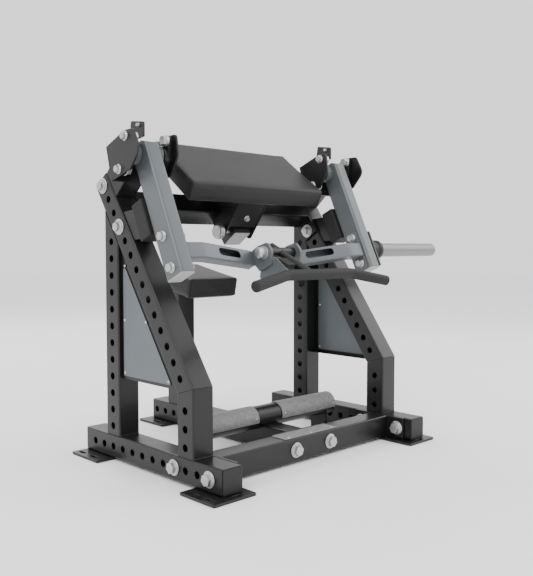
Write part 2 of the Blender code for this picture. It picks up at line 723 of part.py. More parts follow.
def make_handle_grip():
    """Straight middle with swept ends, as one round bar."""
    path = [(-HANDLE_END_X, *HANDLE_TIP), (-HANDLE_STRAIGHT - 0.02, HANDLE_MID[0] - 0.0035, HANDLE_MID[1] - 0.0035),
            (-HANDLE_STRAIGHT + 0.02, *HANDLE_MID), (HANDLE_STRAIGHT - 0.02, *HANDLE_MID),
            (HANDLE_STRAIGHT + 0.02, HANDLE_MID[0] - 0.0035, HANDLE_MID[1] - 0.0035),
            (HANDLE_END_X, *HANDLE_TIP)]
    sides = 20
    bm = bmesh.new()
    rings = []
    for x, y, z in path:
        ring = []
        for step in range(sides):
            angle = 2 * pi * step / sides
            ring.append(bm.verts.new((x, y + HANDLE_RADIUS * cos(angle), z + HANDLE_RADIUS * sin(angle))))
        rings.append(ring)
    for near, far in zip(rings, rings[1:]):
        for i in range(sides):
            j = (i + 1) % sides
            bm.faces.new((near[i], near[j], far[j], far[i]))
    bm.faces.new(rings[0])
    bm.faces.new(rings[-1])
    return from_bmesh("handle_grip", bm, BLACK, smooth=True)


def stand_on_origin():
    """Move everything so that the centre foot plate's middle is at the origin."""
    middle = sum(CENTRE_FOOT_Y) / 2
    for obj in bpy.data.objects:
        if obj.parent is None:
            obj.location.y -= middle


def make_all():
    clear_scene()
    make_foot_plates()
    make_front_cross_member()
    make_grip_plate()
    make_centre_spine()
    make_top_crossbeam()
    make_foot_tube()
    make_seat()
    lever = lever_origin()
    for word, side in SIDES.items():
        make_base_rail(word, side)
        make_front_post(word, side)
        make_rear_upright(word, side)
        make_diagonal(word, side)
        make_side_panel(word, side)
        make_pivot_plates(word, side)
        make_pivot_mount(word, side)
        make_limiter_tab(word, side)
        make_pivot_bearings(word, side)
        make_bumper(word, side)
        for piece in (make_lever_arm(word, side), make_pivot_axle(word, side), make_v_bar(word, side)):
            hang(piece, lever)
    for piece in (make_hub_pin(), make_handle_stop(), *make_weight_horn()):
        hang(piece, lever)
    carriage = carriage_origin()
    for piece in (make_back_pad(), make_pad_yoke(), make_pull_pin()):
        hang(piece, carriage)
    handle = handle_origin()
    for piece in (make_handle_stem(), make_handle_grip()):
        hang(piece, handle)
    stand_on_origin()


make_all()
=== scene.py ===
from math import cos, pi, radians, sin, tan

import bmesh
import bpy
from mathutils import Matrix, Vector


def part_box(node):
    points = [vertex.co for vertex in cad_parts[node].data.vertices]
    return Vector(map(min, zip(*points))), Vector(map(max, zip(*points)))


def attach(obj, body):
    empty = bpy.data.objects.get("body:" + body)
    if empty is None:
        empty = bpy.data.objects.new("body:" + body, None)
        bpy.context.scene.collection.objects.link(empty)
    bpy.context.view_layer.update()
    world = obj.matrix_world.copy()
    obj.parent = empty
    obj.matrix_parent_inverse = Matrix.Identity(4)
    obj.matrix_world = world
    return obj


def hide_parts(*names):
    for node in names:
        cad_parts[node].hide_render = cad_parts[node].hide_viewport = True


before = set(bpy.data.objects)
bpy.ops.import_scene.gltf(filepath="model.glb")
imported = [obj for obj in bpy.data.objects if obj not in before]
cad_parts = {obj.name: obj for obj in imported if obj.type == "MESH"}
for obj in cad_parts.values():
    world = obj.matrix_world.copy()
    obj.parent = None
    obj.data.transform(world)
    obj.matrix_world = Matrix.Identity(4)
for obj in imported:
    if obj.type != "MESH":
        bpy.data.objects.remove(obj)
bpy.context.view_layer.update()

SIDES = {"left": -1, "right": 1}


def middle(node, axis):
    low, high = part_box(node)
    return (low[axis] + high[axis]) / 2


MID = Vector((0, middle("base_rail_left", 1), 0))

# Frame
TUBE = 0.070
HALF = TUBE / 2
WALL = 0.003
CORNER = 0.005
FRAME_X = 0.405
OUTER_X = FRAME_X + HALF
INNER_X = FRAME_X - HALF
PITCH = 0.050
HOLE = 0.0105
PLATE = 0.008
GAP = 0.0003
RAIL_Z = (PLATE, PLATE + TUBE)
RAIL_MID_Z = PLATE + HALF
POST_Y = -0.175
UPRIGHT_Y = 0.175
BEAM_Y = -0.200
LEAN = radians(34.73)
TOP_HOLE = (0.18827, 0.78108)
DIAGONAL_TOP = -0.072
BEAM_ALONG = 0.025

# Lever and handle
ARM_X = 0.405
ARM_HALF = 0.025
ARM_DEPTH = 0.075
ARM_LENGTH = 0.410
ARM_LEAN = radians(24.5)
ARM_FOOT = (-0.1520, 0.5733)
PIVOT = (0.054, 0.903)
AXLE_BORE = 0.0152
EARS = [(0.034, 0.9475), (0.067, 0.858)]
HUB = (-0.125, 0.6235)
HUB_X = (-0.095, 0.020)
HUB_BORE = 0.0083
EAR = 0.008
STEM_X = -0.0375
STEM_RADIUS = 0.0135
SLEEVE_RADIUS = 0.0155
HORN = (-0.090, 0.630)
COLLAR_END = 0.485
HORN_END = 0.824
HANDLE_MID = (-0.258, 0.560)
HANDLE_TIP = (-0.286, 0.533)
GRIP_RADIUS = 0.016
GRIP_BORE = 0.0163
GRIP_BEND_X = 0.139
GRIP_END_X = 0.289
V_TALL = 0.049
V_DEEP = 0.038
V_WALL = 0.003
V_ARM_X = 0.376
V_BEND_X = 0.317
V_BEND_MID = 0.071
V_BEND_FRONT = 0.0105
V_HUB_X = 0.103
V_HUB_MID = 0.061
V_HUB_FRONT = 0.0505
V_SLOPE = (V_BEND_MID - V_HUB_MID) / (V_BEND_X - V_HUB_X)
V_SWEEP = (V_HUB_FRONT - V_BEND_FRONT) / (V_BEND_X - V_HUB_X)
SLOT_X = {-1: 0.2095, 1: 0.1845}
SLOT_HALF = {-1: 0.036, 1: 0.047}
SLOT_RADIUS = 0.0115
OUTER_PLATE_X = (0.475, 0.481)
INNER_PLATE_X = (0.321, 0.327)
PLATE_TOP = (0.125, 0.929)
PLATE_BOTTOM = (0.099, 0.829)

# Pads
PAD_LEAN = radians(36.3)
PAD_FACE_BOTTOM = (-0.013, 0.829)
PAD_FACE = 0.237
PAD_THICK = 0.058
PAD_BEVEL = 0.018
PAD_BOARD = 0.002
PAD_CROWN = 0.0010
PAD_EDGE = 0.004
SEAT_TOP_FRONT = (0.220, 0.532)
SEAT_PITCH = radians(11.7)
SEAT_LENGTH = 0.2318
SEAT_THICK = 0.068
FOOT_TUBE = (-0.016, 0.098)
FOOT_BORE = 0.0363
SHELL_RADIUS = 0.0388
PULL_PIN = (0.107, 0.690)

# Camera, with its angles in degrees
CAMERA_AT = (-1.6529, -1.7467, 0.6385)
CAMERA_DIP = 3.08
CAMERA_HEADING = -43.92
CAMERA_LENS = 50.74


# ---------- side-view coordinates ----------

def in_diagonal(along, across):
    """Distance down a diagonal from its top hole, and towards its front face."""
    y, z = TOP_HOLE
    return (y - sin(LEAN) * along - cos(LEAN) * across, z - cos(LEAN) * along + sin(LEAN) * across)


def in_arm(along, depth):
    """Distance up a lever arm, and behind its front face."""
    y, z = ARM_FOOT
    return (y + sin(ARM_LEAN) * along + cos(ARM_LEAN) * depth,
            z + cos(ARM_LEAN) * along - sin(ARM_LEAN) * depth)


def in_pad(along, depth):
    """Distance up the back pad's face, and behind it."""
    y, z = PAD_FACE_BOTTOM
    return (y + cos(PAD_LEAN) * along + sin(PAD_LEAN) * depth,
            z + sin(PAD_LEAN) * along - cos(PAD_LEAN) * depth)


def in_seat(along, depth):
    """Distance back along the seat's top, and below it."""
    y, z = SEAT_TOP_FRONT
    return (y + cos(SEAT_PITCH) * along + sin(SEAT_PITCH) * depth,
            z + sin(SEAT_PITCH) * along - cos(SEAT_PITCH) * depth)


REACH = Vector((HANDLE_MID[0] - HUB[0], HANDLE_MID[1] - HUB[1]))
STEM_LENGTH = REACH.length
REACH.normalize()


def on_stem(along, below):
    """Distance out along the handle's stem, and under its axis."""
    return (HUB[0] + REACH.x * along - REACH.y * below, HUB[1] + REACH.y * along + REACH.x * below)


def diagonal_z(y, across):
    """Height at y of a line parallel to the diagonal."""
    start_y, start_z = in_diagonal(0, across)
    return start_z + (y - start_y) * cos(LEAN) / sin(LEAN)


def span(side, near, far):
    """The x range between two distances from the mid-plane."""
    return tuple(sorted((side * near, side * far)))


def rectangle(first, second, place=None):
    """Corners between two ranges, each put in place by a side-view function if one is given."""
    (a0, a1), (b0, b1) = first, second
    corners = [(a0, b0), (a1, b0), (a1, b1), (a0, b1)]
    return [place(*corner) for corner in corners] if place else corners


# ---------- materials ----------

def add_node(tree, kind, **sockets):
    node = tree.nodes.new(kind)
    for name, value in sockets.items():
        node.inputs[name.replace("_", " ")].default_value = value
    return node


def material(name, dark, light, rough, metallic=0.0, grain=900.0, bump=0.05, coat=0.0,
             blotch=6.0, stretch=(1, 1, 1), sheen=0.0, specular=0.5):
    """A finish with slow colour and gloss variation and a fine surface grain."""
    made = bpy.data.materials.new(name)
    made.use_nodes = True
    tree = made.node_tree
    shader = tree.nodes["Principled BSDF"]
    shader.inputs["Metallic"].default_value = metallic
    shader.inputs["Coat Weight"].default_value = coat
    shader.inputs["Coat Roughness"].default_value = 0.12
    shader.inputs["Sheen Weight"].default_value = sheen
    shader.inputs["Specular IOR Level"].default_value = specular
    place = tree.nodes.new("ShaderNodeTexCoord")
    scale = add_node(tree, "ShaderNodeMapping", Scale=stretch)
    slow = add_node(tree, "ShaderNodeTexNoise", Scale=blotch, Detail=4.0, Roughness=0.6)
    fine = add_node(tree, "ShaderNodeTexNoise", Scale=grain, Detail=3.0, Roughness=0.55)
    tint = tree.nodes.new("ShaderNodeValToRGB")
    tint.color_ramp.elements[0].position = 0.3
    tint.color_ramp.elements[1].position = 0.7
    tint.color_ramp.elements[0].color = (*dark, 1)
    tint.color_ramp.elements[1].color = (*light, 1)
    gloss = tree.nodes.new("ShaderNodeMapRange")
    gloss.inputs["To Min"].default_value = rough[0]
    gloss.inputs["To Max"].default_value = rough[1]
    relief = add_node(tree, "ShaderNodeBump", Strength=bump, Distance=0.001)
    links = tree.links
    links.new(place.outputs["Object"], scale.inputs["Vector"])
    links.new(scale.outputs["Vector"], slow.inputs["Vector"])
    links.new(scale.outputs["Vector"], fine.inputs["Vector"])
    links.new(slow.outputs["Fac"], tint.inputs["Fac"])
    links.new(tint.outputs["Color"], shader.inputs["Base Color"])
    links.new(slow.outputs["Fac"], gloss.inputs["Value"])
    links.new(gloss.outputs["Result"], shader.inputs["Roughness"])
    links.new(fine.outputs["Fac"], relief.inputs["Height"])
    links.new(relief.outputs["Normal"], shader.inputs["Normal"])
    return made


def grey(value):
    return (value, value, value)


FINISHES = {
    "black": (material("black_powder_coat", grey(0.0045), grey(0.0075), (0.30, 0.42), coat=0.10,
                       grain=700, bump=0.08, specular=0.35), "black_paint"),
    "blue": (material("blue_grey_powder_coat", (0.088, 0.098, 0.106), (0.100, 0.112, 0.120), (0.34, 0.46),
                      metallic=0.2, grain=900, bump=0.10, coat=0.10), "blue_grey_paint"),
    "panel": (material("panel_paint", (0.105, 0.120, 0.132), (0.122, 0.138, 0.150), (0.34, 0.46),
                       metallic=0.4, grain=1100, bump=0.06), "blue_grey_paint"),
    "grip": (material("grip_cover", grey(0.17), grey(0.27), (0.50, 0.72), metallic=0.35, grain=420,
                      bump=0.9, blotch=90), "grip_cover"),
    "rubber": (material("bumper_rubber", grey(0.008), grey(0.014), (0.55, 0.75), grain=500,
                        bump=0.3, specular=0.35), "bumper_rubber"),
    "vinyl": (material("black_vinyl", grey(0.0055), grey(0.0095), (0.40, 0.55), grain=650, bump=0.40,
                       sheen=0.03, specular=0.32), "black_vinyl"),
    "steel": (material("zinc_steel", grey(0.44), grey(0.56), (0.36, 0.50), metallic=0.9, grain=1200,
                       bump=0.12, blotch=40), "bright_steel"),
    "sleeve": (material("turned_steel", grey(0.20), grey(0.26), (0.36, 0.48), metallic=0.75, grain=60,
                        bump=0.20, blotch=9, stretch=(30, 1, 1)), "bright_steel"),
    "knob": (material("satin_knob", grey(0.36), grey(0.44), (0.30, 0.42), metallic=0.9, grain=800,
                      bump=0.12, blotch=30), "knob_silver"),
    "cap": (material("end_cap_plastic", grey(0.010), grey(0.015), (0.42, 0.55), grain=900,
                     bump=0.2, specular=0.35), "black_paint"),
    "pale_cap": (material("grey_cap_plastic", grey(0.34), grey(0.40), (0.42, 0.55), grain=900, bump=0.2),
                 "blue_grey_paint"),
    "board": (material("pad_backing", grey(0.007), grey(0.012), (0.7, 0.85), grain=1400, bump=0.6,
                       specular=0.3),
              "black_vinyl"),
}


# ---------- solids ----------

def place_piece(name, bm, finish, body, replaced=(), smooth=30, soften=0.0, segments=2):
    """Turn a bmesh in machine coordinates into a piece that rides on a body."""
    bmesh.ops.recalc_face_normals(bm, faces=bm.faces)
    mesh = bpy.data.meshes.new(name)
    bm.to_mesh(mesh)
    bm.free()
    obj = bpy.data.objects.new(name, mesh)
    bpy.context.scene.collection.objects.link(obj)
    dress(obj, finish, body, replaced, smooth, soften, segments)


def black_piece(name, bm, replaced=(), **look):
    """A piece of the frame in black powder coat."""
    place_piece(name, bm, "black", "frame", replaced, **look)


def dress(obj, finish, body, replaced=(), smooth=30, soften=0.0, segments=2):
    look, slot = FINISHES[finish]
    obj.data.materials.clear()
    obj.data.materials.append(look)
    if soften:
        bevel = obj.modifiers.new("soft_edges", "BEVEL")
        bevel.width = soften
        bevel.segments = segments
        bevel.limit_method = "ANGLE"
        bevel.angle_limit = radians(40)
    obj.data.shade_smooth()
    obj.data.set_sharp_from_angle(angle=radians(smooth))
    weighted = obj.modifiers.new("even_shading", "WEIGHTED_NORMAL")
    weighted.keep_sharp = True
    obj.location = MID
    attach(obj, body)
    if replaced:
        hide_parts(*replaced)


def prism(points, push):
    """A closed solid from a flat ring of 3-D points, pushed along a vector."""
    bm = bmesh.new()
    near = [bm.verts.new(point) for point in points]
    far = [bm.verts.new(Vector(point) + Vector(push)) for point in points]
    bm.faces.new(near)
    bm.faces.new(list(reversed(far)))
    for i in range(len(near)):
        j = (i + 1) % len(near)
        bm.faces.new((near[j], near[i], far[i], far[j]))
    bmesh.ops.recalc_face_normals(bm, faces=bm.faces)
    return bm


def slab(outline, x_range):
    """A side-view outline extruded along X."""
    low, high = sorted(x_range)
    return prism([(low, y, z) for y, z in outline], (high - low, 0, 0))


def box(x_range, y_range, z_range):
    return slab(rectangle(y_range, z_range), x_range)


def turned(profile, base, direction, sides=48):
    """A lathe solid from (radius, height) pairs, along a direction from its base."""
    turn = Vector(direction).normalized().to_track_quat("Z", "Y").to_matrix()
    base = Vector(base)
    bm = bmesh.new()
    rings = []
    for radius, height in profile:
        if radius < 1e-6:
            rings.append([bm.verts.new(base + turn @ Vector((0, 0, height)))])
            continue
        ring = []
        for step in range(sides):
            angle = 2 * pi * step / sides
            spot = Vector((radius * cos(angle), radius * sin(angle), height))
            ring.append(bm.verts.new(base + turn @ spot))
        rings.append(ring)
    for near, far in zip(rings, rings[1:]):
        for i in range(sides):
            j = (i + 1) % sides
            if len(near) == 1:
                bm.faces.new((near[0], far[i], far[j]))
            elif len(far) == 1:
                bm.faces.new((near[i], near[j], far[0]))
            else:
                bm.faces.new((near[i], near[j], far[j], far[i]))
    bmesh.ops.recalc_face_normals(bm, faces=bm.faces)
    return bm


def cylinder(base, direction, radius, length, sides=48):
    return turned([(0, 0), (radius, 0), (radius, length), (0, length)], base, direction, sides)


def merged(*parts):
    """Several bmeshes as one."""
    whole = bmesh.new()
    for part in parts:
        mesh = bpy.data.meshes.new("part")
        part.to_mesh(mesh)
        part.free()
        whole.from_mesh(mesh)
        bpy.data.meshes.remove(mesh)
    return whole


def scratch(bm):
    mesh = bpy.data.meshes.new("scratch")
    bm.to_mesh(mesh)
    bm.free()
    obj = bpy.data.objects.new("scratch", mesh)
    bpy.context.scene.collection.objects.link(obj)
    return obj


def carve(solid, *steps):
    """Exact Booleans on a bmesh: each step is (operation, bmesh)."""
    base = scratch(solid)
    tools = []
    for operation, tool in steps:
        helper = scratch(tool)
        tools.append(helper)
        modifier = base.modifiers.new("step", "BOOLEAN")
        modifier.operation = operation
        modifier.solver = "EXACT"
        modifier.use_self = operation == "DIFFERENCE"
        modifier.object = helper
    bpy.context.view_layer.update()
    graph = bpy.context.evaluated_depsgraph_get()
    mesh = bpy.data.meshes.new_from_object(base.evaluated_get(graph))
    result = bmesh.new()
    result.from_mesh(mesh)
    bpy.data.meshes.remove(mesh)
    for helper in [base, *tools]:
        data = helper.data
        bpy.data.objects.remove(helper, do_unlink=True)
        bpy.data.meshes.remove(data)
    bmesh.ops.remove_doubles(result, verts=result.verts, dist=1e-6)
    return result


def inset(outline, distance):
    """The outline moved inwards by a distance."""
    area = sum(a[0] * b[1] - b[0] * a[1] for a, b in zip(outline, outline[1:] + outline[:1]))
    turn = 1 if area > 0 else -1
    points = []
    count = len(outline)
    for i in range(count):
        before, here, after = (Vector(outline[(i + k) % count]) for k in (-1, 0, 1))
        first, second = (here - before).normalized(), (after - here).normalized()
        normal_a = Vector((-first.y, first.x)) * turn
        normal_b = Vector((-second.y, second.x)) * turn
        bisector = normal_a + normal_b
        points.append(tuple(here + bisector * (distance / (1 + normal_a.dot(normal_b)))))
    return points


def curve(start, corner, end, steps):
    """Points from start to end along a curve that bends towards a corner."""
    return [start * (1 - t) ** 2 + corner * 2 * t * (1 - t) + end * t ** 2
            for t in (step / steps for step in range(steps + 1))]


def rounded(outline, radius, steps=5):
    """The outline with its corners as arcs. A radius may be one number or one for each corner."""
    count = len(outline)
    radii = radius if isinstance(radius, (list, tuple)) else [radius] * count
    points = []
    for i in range(count):
        before, here, after = (Vector(outline[(i + k) % count]) for k in (-1, 0, 1))
        to_before, to_after = (before - here).normalized(), (after - here).normalized()
        angle = to_before.angle(to_after)
        if radii[i] < 1e-6:
            points.append(tuple(here))
            continue
        room = 0.49 * min((before - here).length, (after - here).length)
        reach = min(radii[i] / tan(angle / 2), room)
        start, end = here + to_before * reach, here + to_after * reach
        points += [tuple(point) for point in curve(start, here, end, steps)]
    return points


def holes_along_x(centres, x_range, radius=HOLE, sides=32):
    low, high = sorted(x_range)
    return merged(*[cylinder((low - 0.01, *centre), (1, 0, 0), radius, high - low + 0.02, sides)
                    for centre in centres])


def round_long_edges(bm, direction, radius, segments=4):
    direction = Vector(direction).normalized()
    picked = []
    for edge in bm.edges:
        along = (edge.verts[1].co - edge.verts[0].co).normalized()
        if abs(along.dot(direction)) > 0.9999:
            picked.append(edge)
    bmesh.ops.bevel(bm, geom=picked, offset=radius, segments=segments, affect="EDGES", profile=0.5)


def tube(outline, x_range, direction, holes=()):
    """A hollow tube with rounded long edges and through holes along X."""
    outer = slab(outline, x_range)
    round_long_edges(outer, direction, CORNER)
    low, high = sorted(x_range)
    inner = slab(inset(list(outline), WALL), (low + WALL, high - WALL))
    steps = [("DIFFERENCE", inner)]
    if holes:
        steps.append(("DIFFERENCE", holes_along_x(holes, x_range)))
    return carve(outer, *steps)


def hex_head(base, direction, radius, height, turn=0.0):
    """A hexagonal head with a chamfered top."""
    quat = Vector(direction).normalized().to_track_quat("Z", "Y").to_matrix()
    base = Vector(base)
    points = []
    for step in range(6):
        angle = turn + pi * step / 3
        points.append(base + quat @ Vector((radius * cos(angle), radius * sin(angle), 0)))
    push = quat @ Vector((0, 0, height))
    bm = prism(points, push)
    top = [e for e in bm.edges
           if all((v.co - base).dot(push) > 0.9 * push.dot(push) for v in e.verts)]
    bmesh.ops.bevel(bm, geom=top, offset=height * 0.16, segments=2, affect="EDGES", profile=0.6)
    return bm


def washer(base, direction, radius, thick):
    edge = min(0.001, thick * 0.35)
    return turned([(0, 0), (radius - edge, 0), (radius, edge), (radius, thick - edge),
                   (radius - edge, thick), (0, thick)], base, direction)


def bolt(name, at, direction, body="frame", washer_radius=0.0225, head=0.0165, height=0.0105, turn=0.2,
         finish="steel"):
    """Hex bolt head on a washer, standing on a face."""
    at, direction = Vector(at), Vector(direction).normalized()
    lift = 0.0032
    collar = turned([(0, 0), (head * 1.12, 0), (head * 1.12, 0.0012), (head * 0.98, 0.0028), (0, 0.0028)],
                    at + direction * lift, direction)
    bm = merged(washer(at, direction, washer_radius, lift), collar,
                hex_head(at + direction * (lift + 0.0020), direction, head, height, turn))
    place_piece(name, bm, finish, body, smooth=35)


def button_screw(name, at, direction, radius):
    """Low domed head with a hexagonal socket."""
    at, direction = Vector(at), Vector(direction).normalized()
    profile = [(0, 0), (radius, 0), (radius, radius * 0.16), (radius * 0.86, radius * 0.38),
               (radius * 0.60, radius * 0.54), (radius * 0.38, radius * 0.60), (0, radius * 0.60)]
    dome = turned(profile, at, direction, 24)
    quat = direction.to_track_quat("Z", "Y").to_matrix()
    socket = [at + direction * radius * 0.25 + quat @ Vector((radius * 0.34 * cos(pi * s / 3),
                                                               radius * 0.34 * sin(pi * s / 3), 0))
              for s in range(6)]
    bm = carve(dome, ("DIFFERENCE", prism(socket, direction * radius)))
    place_piece(name, bm, "steel", "frame")


def rounded_route(points, radius, steps):
    """3-D polyline with its inner corners as arcs."""
    route = [Vector(points[0])]
    for before, here, after in zip(points, points[1:], points[2:]):
        before, here, after = Vector(before), Vector(here), Vector(after)
        to_before, to_after = (before - here).normalized(), (after - here).normalized()
        reach = radius / tan(to_before.angle(to_after) / 2)
        start, end = here + to_before * reach, here + to_after * reach
        route += curve(start, here, end, steps)
    route.append(Vector(points[-1]))
    return route


def lofted(sections):
    """Skin over rings that all have the same number of points."""
    bm = bmesh.new()
    rings = [[bm.verts.new(p) for p in ring] for ring in sections]
    bm.faces.new(rings[0])
    bm.faces.new(rings[-1])
    count = len(rings[0])
    for near, far in zip(rings, rings[1:]):
        for i in range(count):
            j = (i + 1) % count
            bm.faces.new((near[i], near[j], far[j], far[i]))
    bmesh.ops.recalc_face_normals(bm, faces=bm.faces)
    return bm


def swept(route, radius, sides, dome):
    """A round bar along a route, with domed ends."""
    stations = []
    first = (route[1] - route[0]).normalized()
    last = (route[-1] - route[-2]).normalized()
    for step in range(6):
        angle = pi / 2 * (1 - step / 6)
        stations.append((route[0] + first * dome * (1 - sin(angle)), max(radius * cos(angle), 1e-4)))
    route = [route[0] + first * dome, *route[1:-1], route[-1] - last * dome]
    stations += [(point, radius) for point in route]
    for step in range(1, 7):
        angle = pi / 2 * step / 6
        stations.append((route[-1] + last * dome * sin(angle), max(radius * cos(angle), 1e-4)))
    rings = []
    up = Vector((0, 0, 1))
    turns = [2 * pi * step / sides for step in range(sides)]
    for i, (point, size) in enumerate(stations):
        ahead = stations[min(i + 1, len(stations) - 1)][0]
        behind = stations[max(i - 1, 0)][0]
        along = (ahead - behind).normalized()
        right = along.cross(up).normalized()
        lift = right.cross(along)
        rings.append([point + right * size * cos(turn) + lift * size * sin(turn) for turn in turns])
    return lofted(rings)


# ---------- base ----------

def base_rails():
    y0, y1 = -0.325, 0.325
    outline = rectangle((y0, y1), RAIL_Z)
    centres = [(0.275 - PITCH * i, RAIL_MID_Z) for i in range(12)]
    for word, side in SIDES.items():
        bm = tube(outline, span(side, INNER_X, OUTER_X), (0, 1, 0), centres)
        black_piece("rail_tube_" + word, bm, ["base_rail_" + word], soften=0.0005)
        for end, y, push in (("front", y0, -1), ("rear", y1, 1)):
            x0, x1 = span(side, INNER_X + 0.002, OUTER_X - 0.002)
            ring = rounded(rectangle((x0, x1), (RAIL_Z[0] + 0.002, RAIL_Z[1] - 0.002)), 0.005)
            cap = prism([(x, y, z) for x, z in ring], (0, push * 0.0025, 0))
            place_piece("rail_cap_%s_%s" % (end, word), cap, "cap", "frame", soften=0.001)
        for i, y in enumerate((-0.125, -0.275)):
            bolt("rail_bolt_%s_%d" % (word, i), (side * OUTER_X, y, RAIL_MID_Z), (side, 0, 0), turn=0.3 + i)
            nut_at = (side * (INNER_X - GAP - PLATE), y, RAIL_MID_Z)
            bolt("rail_nut_%s_%d" % (word, i), nut_at, (-side, 0, 0), turn=0.1 + i, height=0.013)


def slotted_plate(name, node, slots):
    """Corner foot plate with slots for floor anchors."""
    low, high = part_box(node)
    low, high = low - MID, high - MID
    ring = rounded(rectangle((low.x, high.x), (low.y, high.y)), 0.006)
    plate = prism([(x, y, low.z) for x, y in ring], (0, 0, high.z - low.z))
    tools = []
    for x, y, long_x in slots:
        reach = 0.011
        points = []
        for end in (1, -1):
            for step in range(9):
                angle = radians(-90 + 22.5 * step)
                along = end * (reach + 0.006 * cos(angle))
                across = end * 0.006 * sin(angle)
                points.append((x + along, y + across, low.z - 0.01) if long_x
                              else (x - across, y + along, low.z - 0.01))
        tools.append(prism(points, (0, 0, 0.03)))
    bm = carve(plate, ("DIFFERENCE", merged(*tools)))
    black_piece(name, bm, [node], soften=0.0008)


def foot_plates():
    slotted_plate("front_left_foot", "foot_plate_front_left", [(-0.474, -0.255, False), (-0.474, -0.318,
                                                                                         False),
                                                               (-0.400, -0.341, True)])
    slotted_plate("rear_left_foot", "foot_plate_rear_left", [(-0.474, 0.230, False), (-0.474, 0.295, False)])
    slotted_plate("front_right_foot", "foot_plate_front_right", [(0.353, -0.250, False), (0.456, -0.250,
                                                                                          False),
                                                                 (0.402, -0.336, True)])
    slotted_plate("rear_right_foot", "foot_plate_rear_right", [(0.346, 0.230, False), (0.458, 0.290, False)])
    slotted_plate("centre_foot", "foot_plate_centre", [(-0.062, 0.480, False), (0.062, 0.480, False)])


def front_beam():
    inner = INNER_X - GAP
    y0, y1 = BEAM_Y - HALF, BEAM_Y + HALF
    outline = rectangle((y0, y1), RAIL_Z)
    bm = tube(outline, (-inner + PLATE, inner - PLATE), (1, 0, 0))
    black_piece("front_beam_tube", bm, ["front_cross_member"], soften=0.0005)
    for word, side in SIDES.items():
        flange = box(span(side, inner - PLATE, inner), (BEAM_Y - 0.100, BEAM_Y + 0.100), RAIL_Z)
        black_piece("front_beam_flange_" + word, flange, soften=0.001)
        bolt("front_beam_bolt_" + word, (side * 0.075, y0, RAIL_MID_Z), (0, -1, 0), turn=0.5 + side * 0.3)


def grip_strips():
    low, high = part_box("grip_plate")
    low, high = low - MID, high - MID
    ring = rounded(rectangle((low.x, high.x), (low.y, high.y)), 0.004)
    place_piece("front_grip_strip", prism([(x, y, low.z) for x, y in ring], (0, 0, high.z - low.z)),
                "grip", "frame", ["grip_plate"], soften=0.0006)
    top = high.z
    for i, x in enumerate((-0.095, 0.0, 0.095)):
        button_screw("grip_screw_%d" % i, (x, low.y + 0.008, top), (0, 0, 1), 0.0045)


def spine():
    y0, y1 = BEAM_Y + HALF + GAP, 0.541
    outline = rectangle((y0 + PLATE, y1), RAIL_Z)
    centres = [(0.516 - PITCH * i, RAIL_MID_Z) for i in range(9)]
    bm = tube(outline, (-HALF, HALF), (0, 1, 0), centres)
    cutter = cylinder((-0.05, *FOOT_TUBE), (1, 0, 0), FOOT_BORE, 0.1)
    bm = carve(bm, ("DIFFERENCE", cutter))
    black_piece("spine_tube", bm, ["centre_spine"], soften=0.0005)
    black_piece("spine_flange", box((-0.100, 0.100), (y0, y0 + PLATE), RAIL_Z), soften=0.001)
    ring = rounded(rectangle((-0.033, 0.033), (0.010, 0.076)), 0.005)
    cap = prism([(x, y1, z) for x, z in ring], (0, 0.0025, 0))
    place_piece("spine_cap", cap, "cap", "frame", soften=0.001)
    for word, side in SIDES.items():
        bolt("spine_nut_" + word, (side * 0.075, y0 + PLATE, RAIL_MID_Z), (0, 1, 0), height=0.013)


# ---------- side frames ----------

def side_frames():
    front, back = POST_Y - HALF, POST_Y + HALF
    rear_front, rear_back = UPRIGHT_Y - HALF, UPRIGHT_Y + HALF
    base = RAIL_Z[1] + GAP
    slip = 0.0006
    post = [(front, base), (back, base), (back, diagonal_z(back, -HALF) - slip),
            (front, diagonal_z(front, HALF) - slip)]
    upright = [(rear_front, base), (rear_back, base), (rear_back, diagonal_z(rear_back, -HALF) - slip),
               (rear_front, diagonal_z(rear_front, -HALF) - slip)]
    diagonal = [(front, diagonal_z(front, HALF)), (back, diagonal_z(back, -HALF)),
                in_diagonal(DIAGONAL_TOP + 0.016, -HALF), in_diagonal(DIAGONAL_TOP, 0.016 - HALF),
                in_diagonal(DIAGONAL_TOP, HALF)]
    post_holes = [(POST_Y, z) for z in (0.105, 0.155, 0.205)]
    upright_holes = [(UPRIGHT_Y, 0.1058 + PITCH * i) for i in range(12)]
    diagonal_holes = [in_diagonal(PITCH * i, 0) for i in range(13) if i != 2]
    down = (0, -sin(LEAN), -cos(LEAN))
    for word, side in SIDES.items():
        x_range = span(side, INNER_X, OUTER_X)
        black_piece("front_post_tube_" + word, tube(post, x_range, (0, 0, 1), post_holes),
                    ["front_post_" + word], soften=0.0005)
        black_piece("rear_upright_tube_" + word, tube(upright, x_range, (0, 0, 1), upright_holes),
                    ["rear_upright_" + word], soften=0.0005)
        black_piece("diagonal_tube_" + word, tube(diagonal, x_range, down, diagonal_holes),
                    ["diagonal_" + word], soften=0.0005)
        for i, along in enumerate((-PITCH, 2 * PITCH)):
            bolt("crossbeam_bolt_%s_%d" % (word, i), (side * OUTER_X, *in_diagonal(along, 0)), (side, 0, 0),
                 turn=0.4 + i, washer_radius=0.0235, head=0.0140)
            bolt("crossbeam_nut_%s_%d" % (word, i), (side * (INNER_X - GAP - PLATE), *in_diagonal(along, 0)),
                 (-side, 0, 0), turn=0.1 + i, height=0.013, washer_radius=0.0235, head=0.0140)
        bolt("upright_bolt_" + word, (side * INNER_X, UPRIGHT_Y, 0.5058), (-side, 0, 0), turn=0.7,
             washer_radius=0.0150, head=0.0115, height=0.007, finish="black")
        weld_ring("post_weld_" + word, side, front, back)
        weld_ring("upright_weld_" + word, side, rear_front, rear_back)


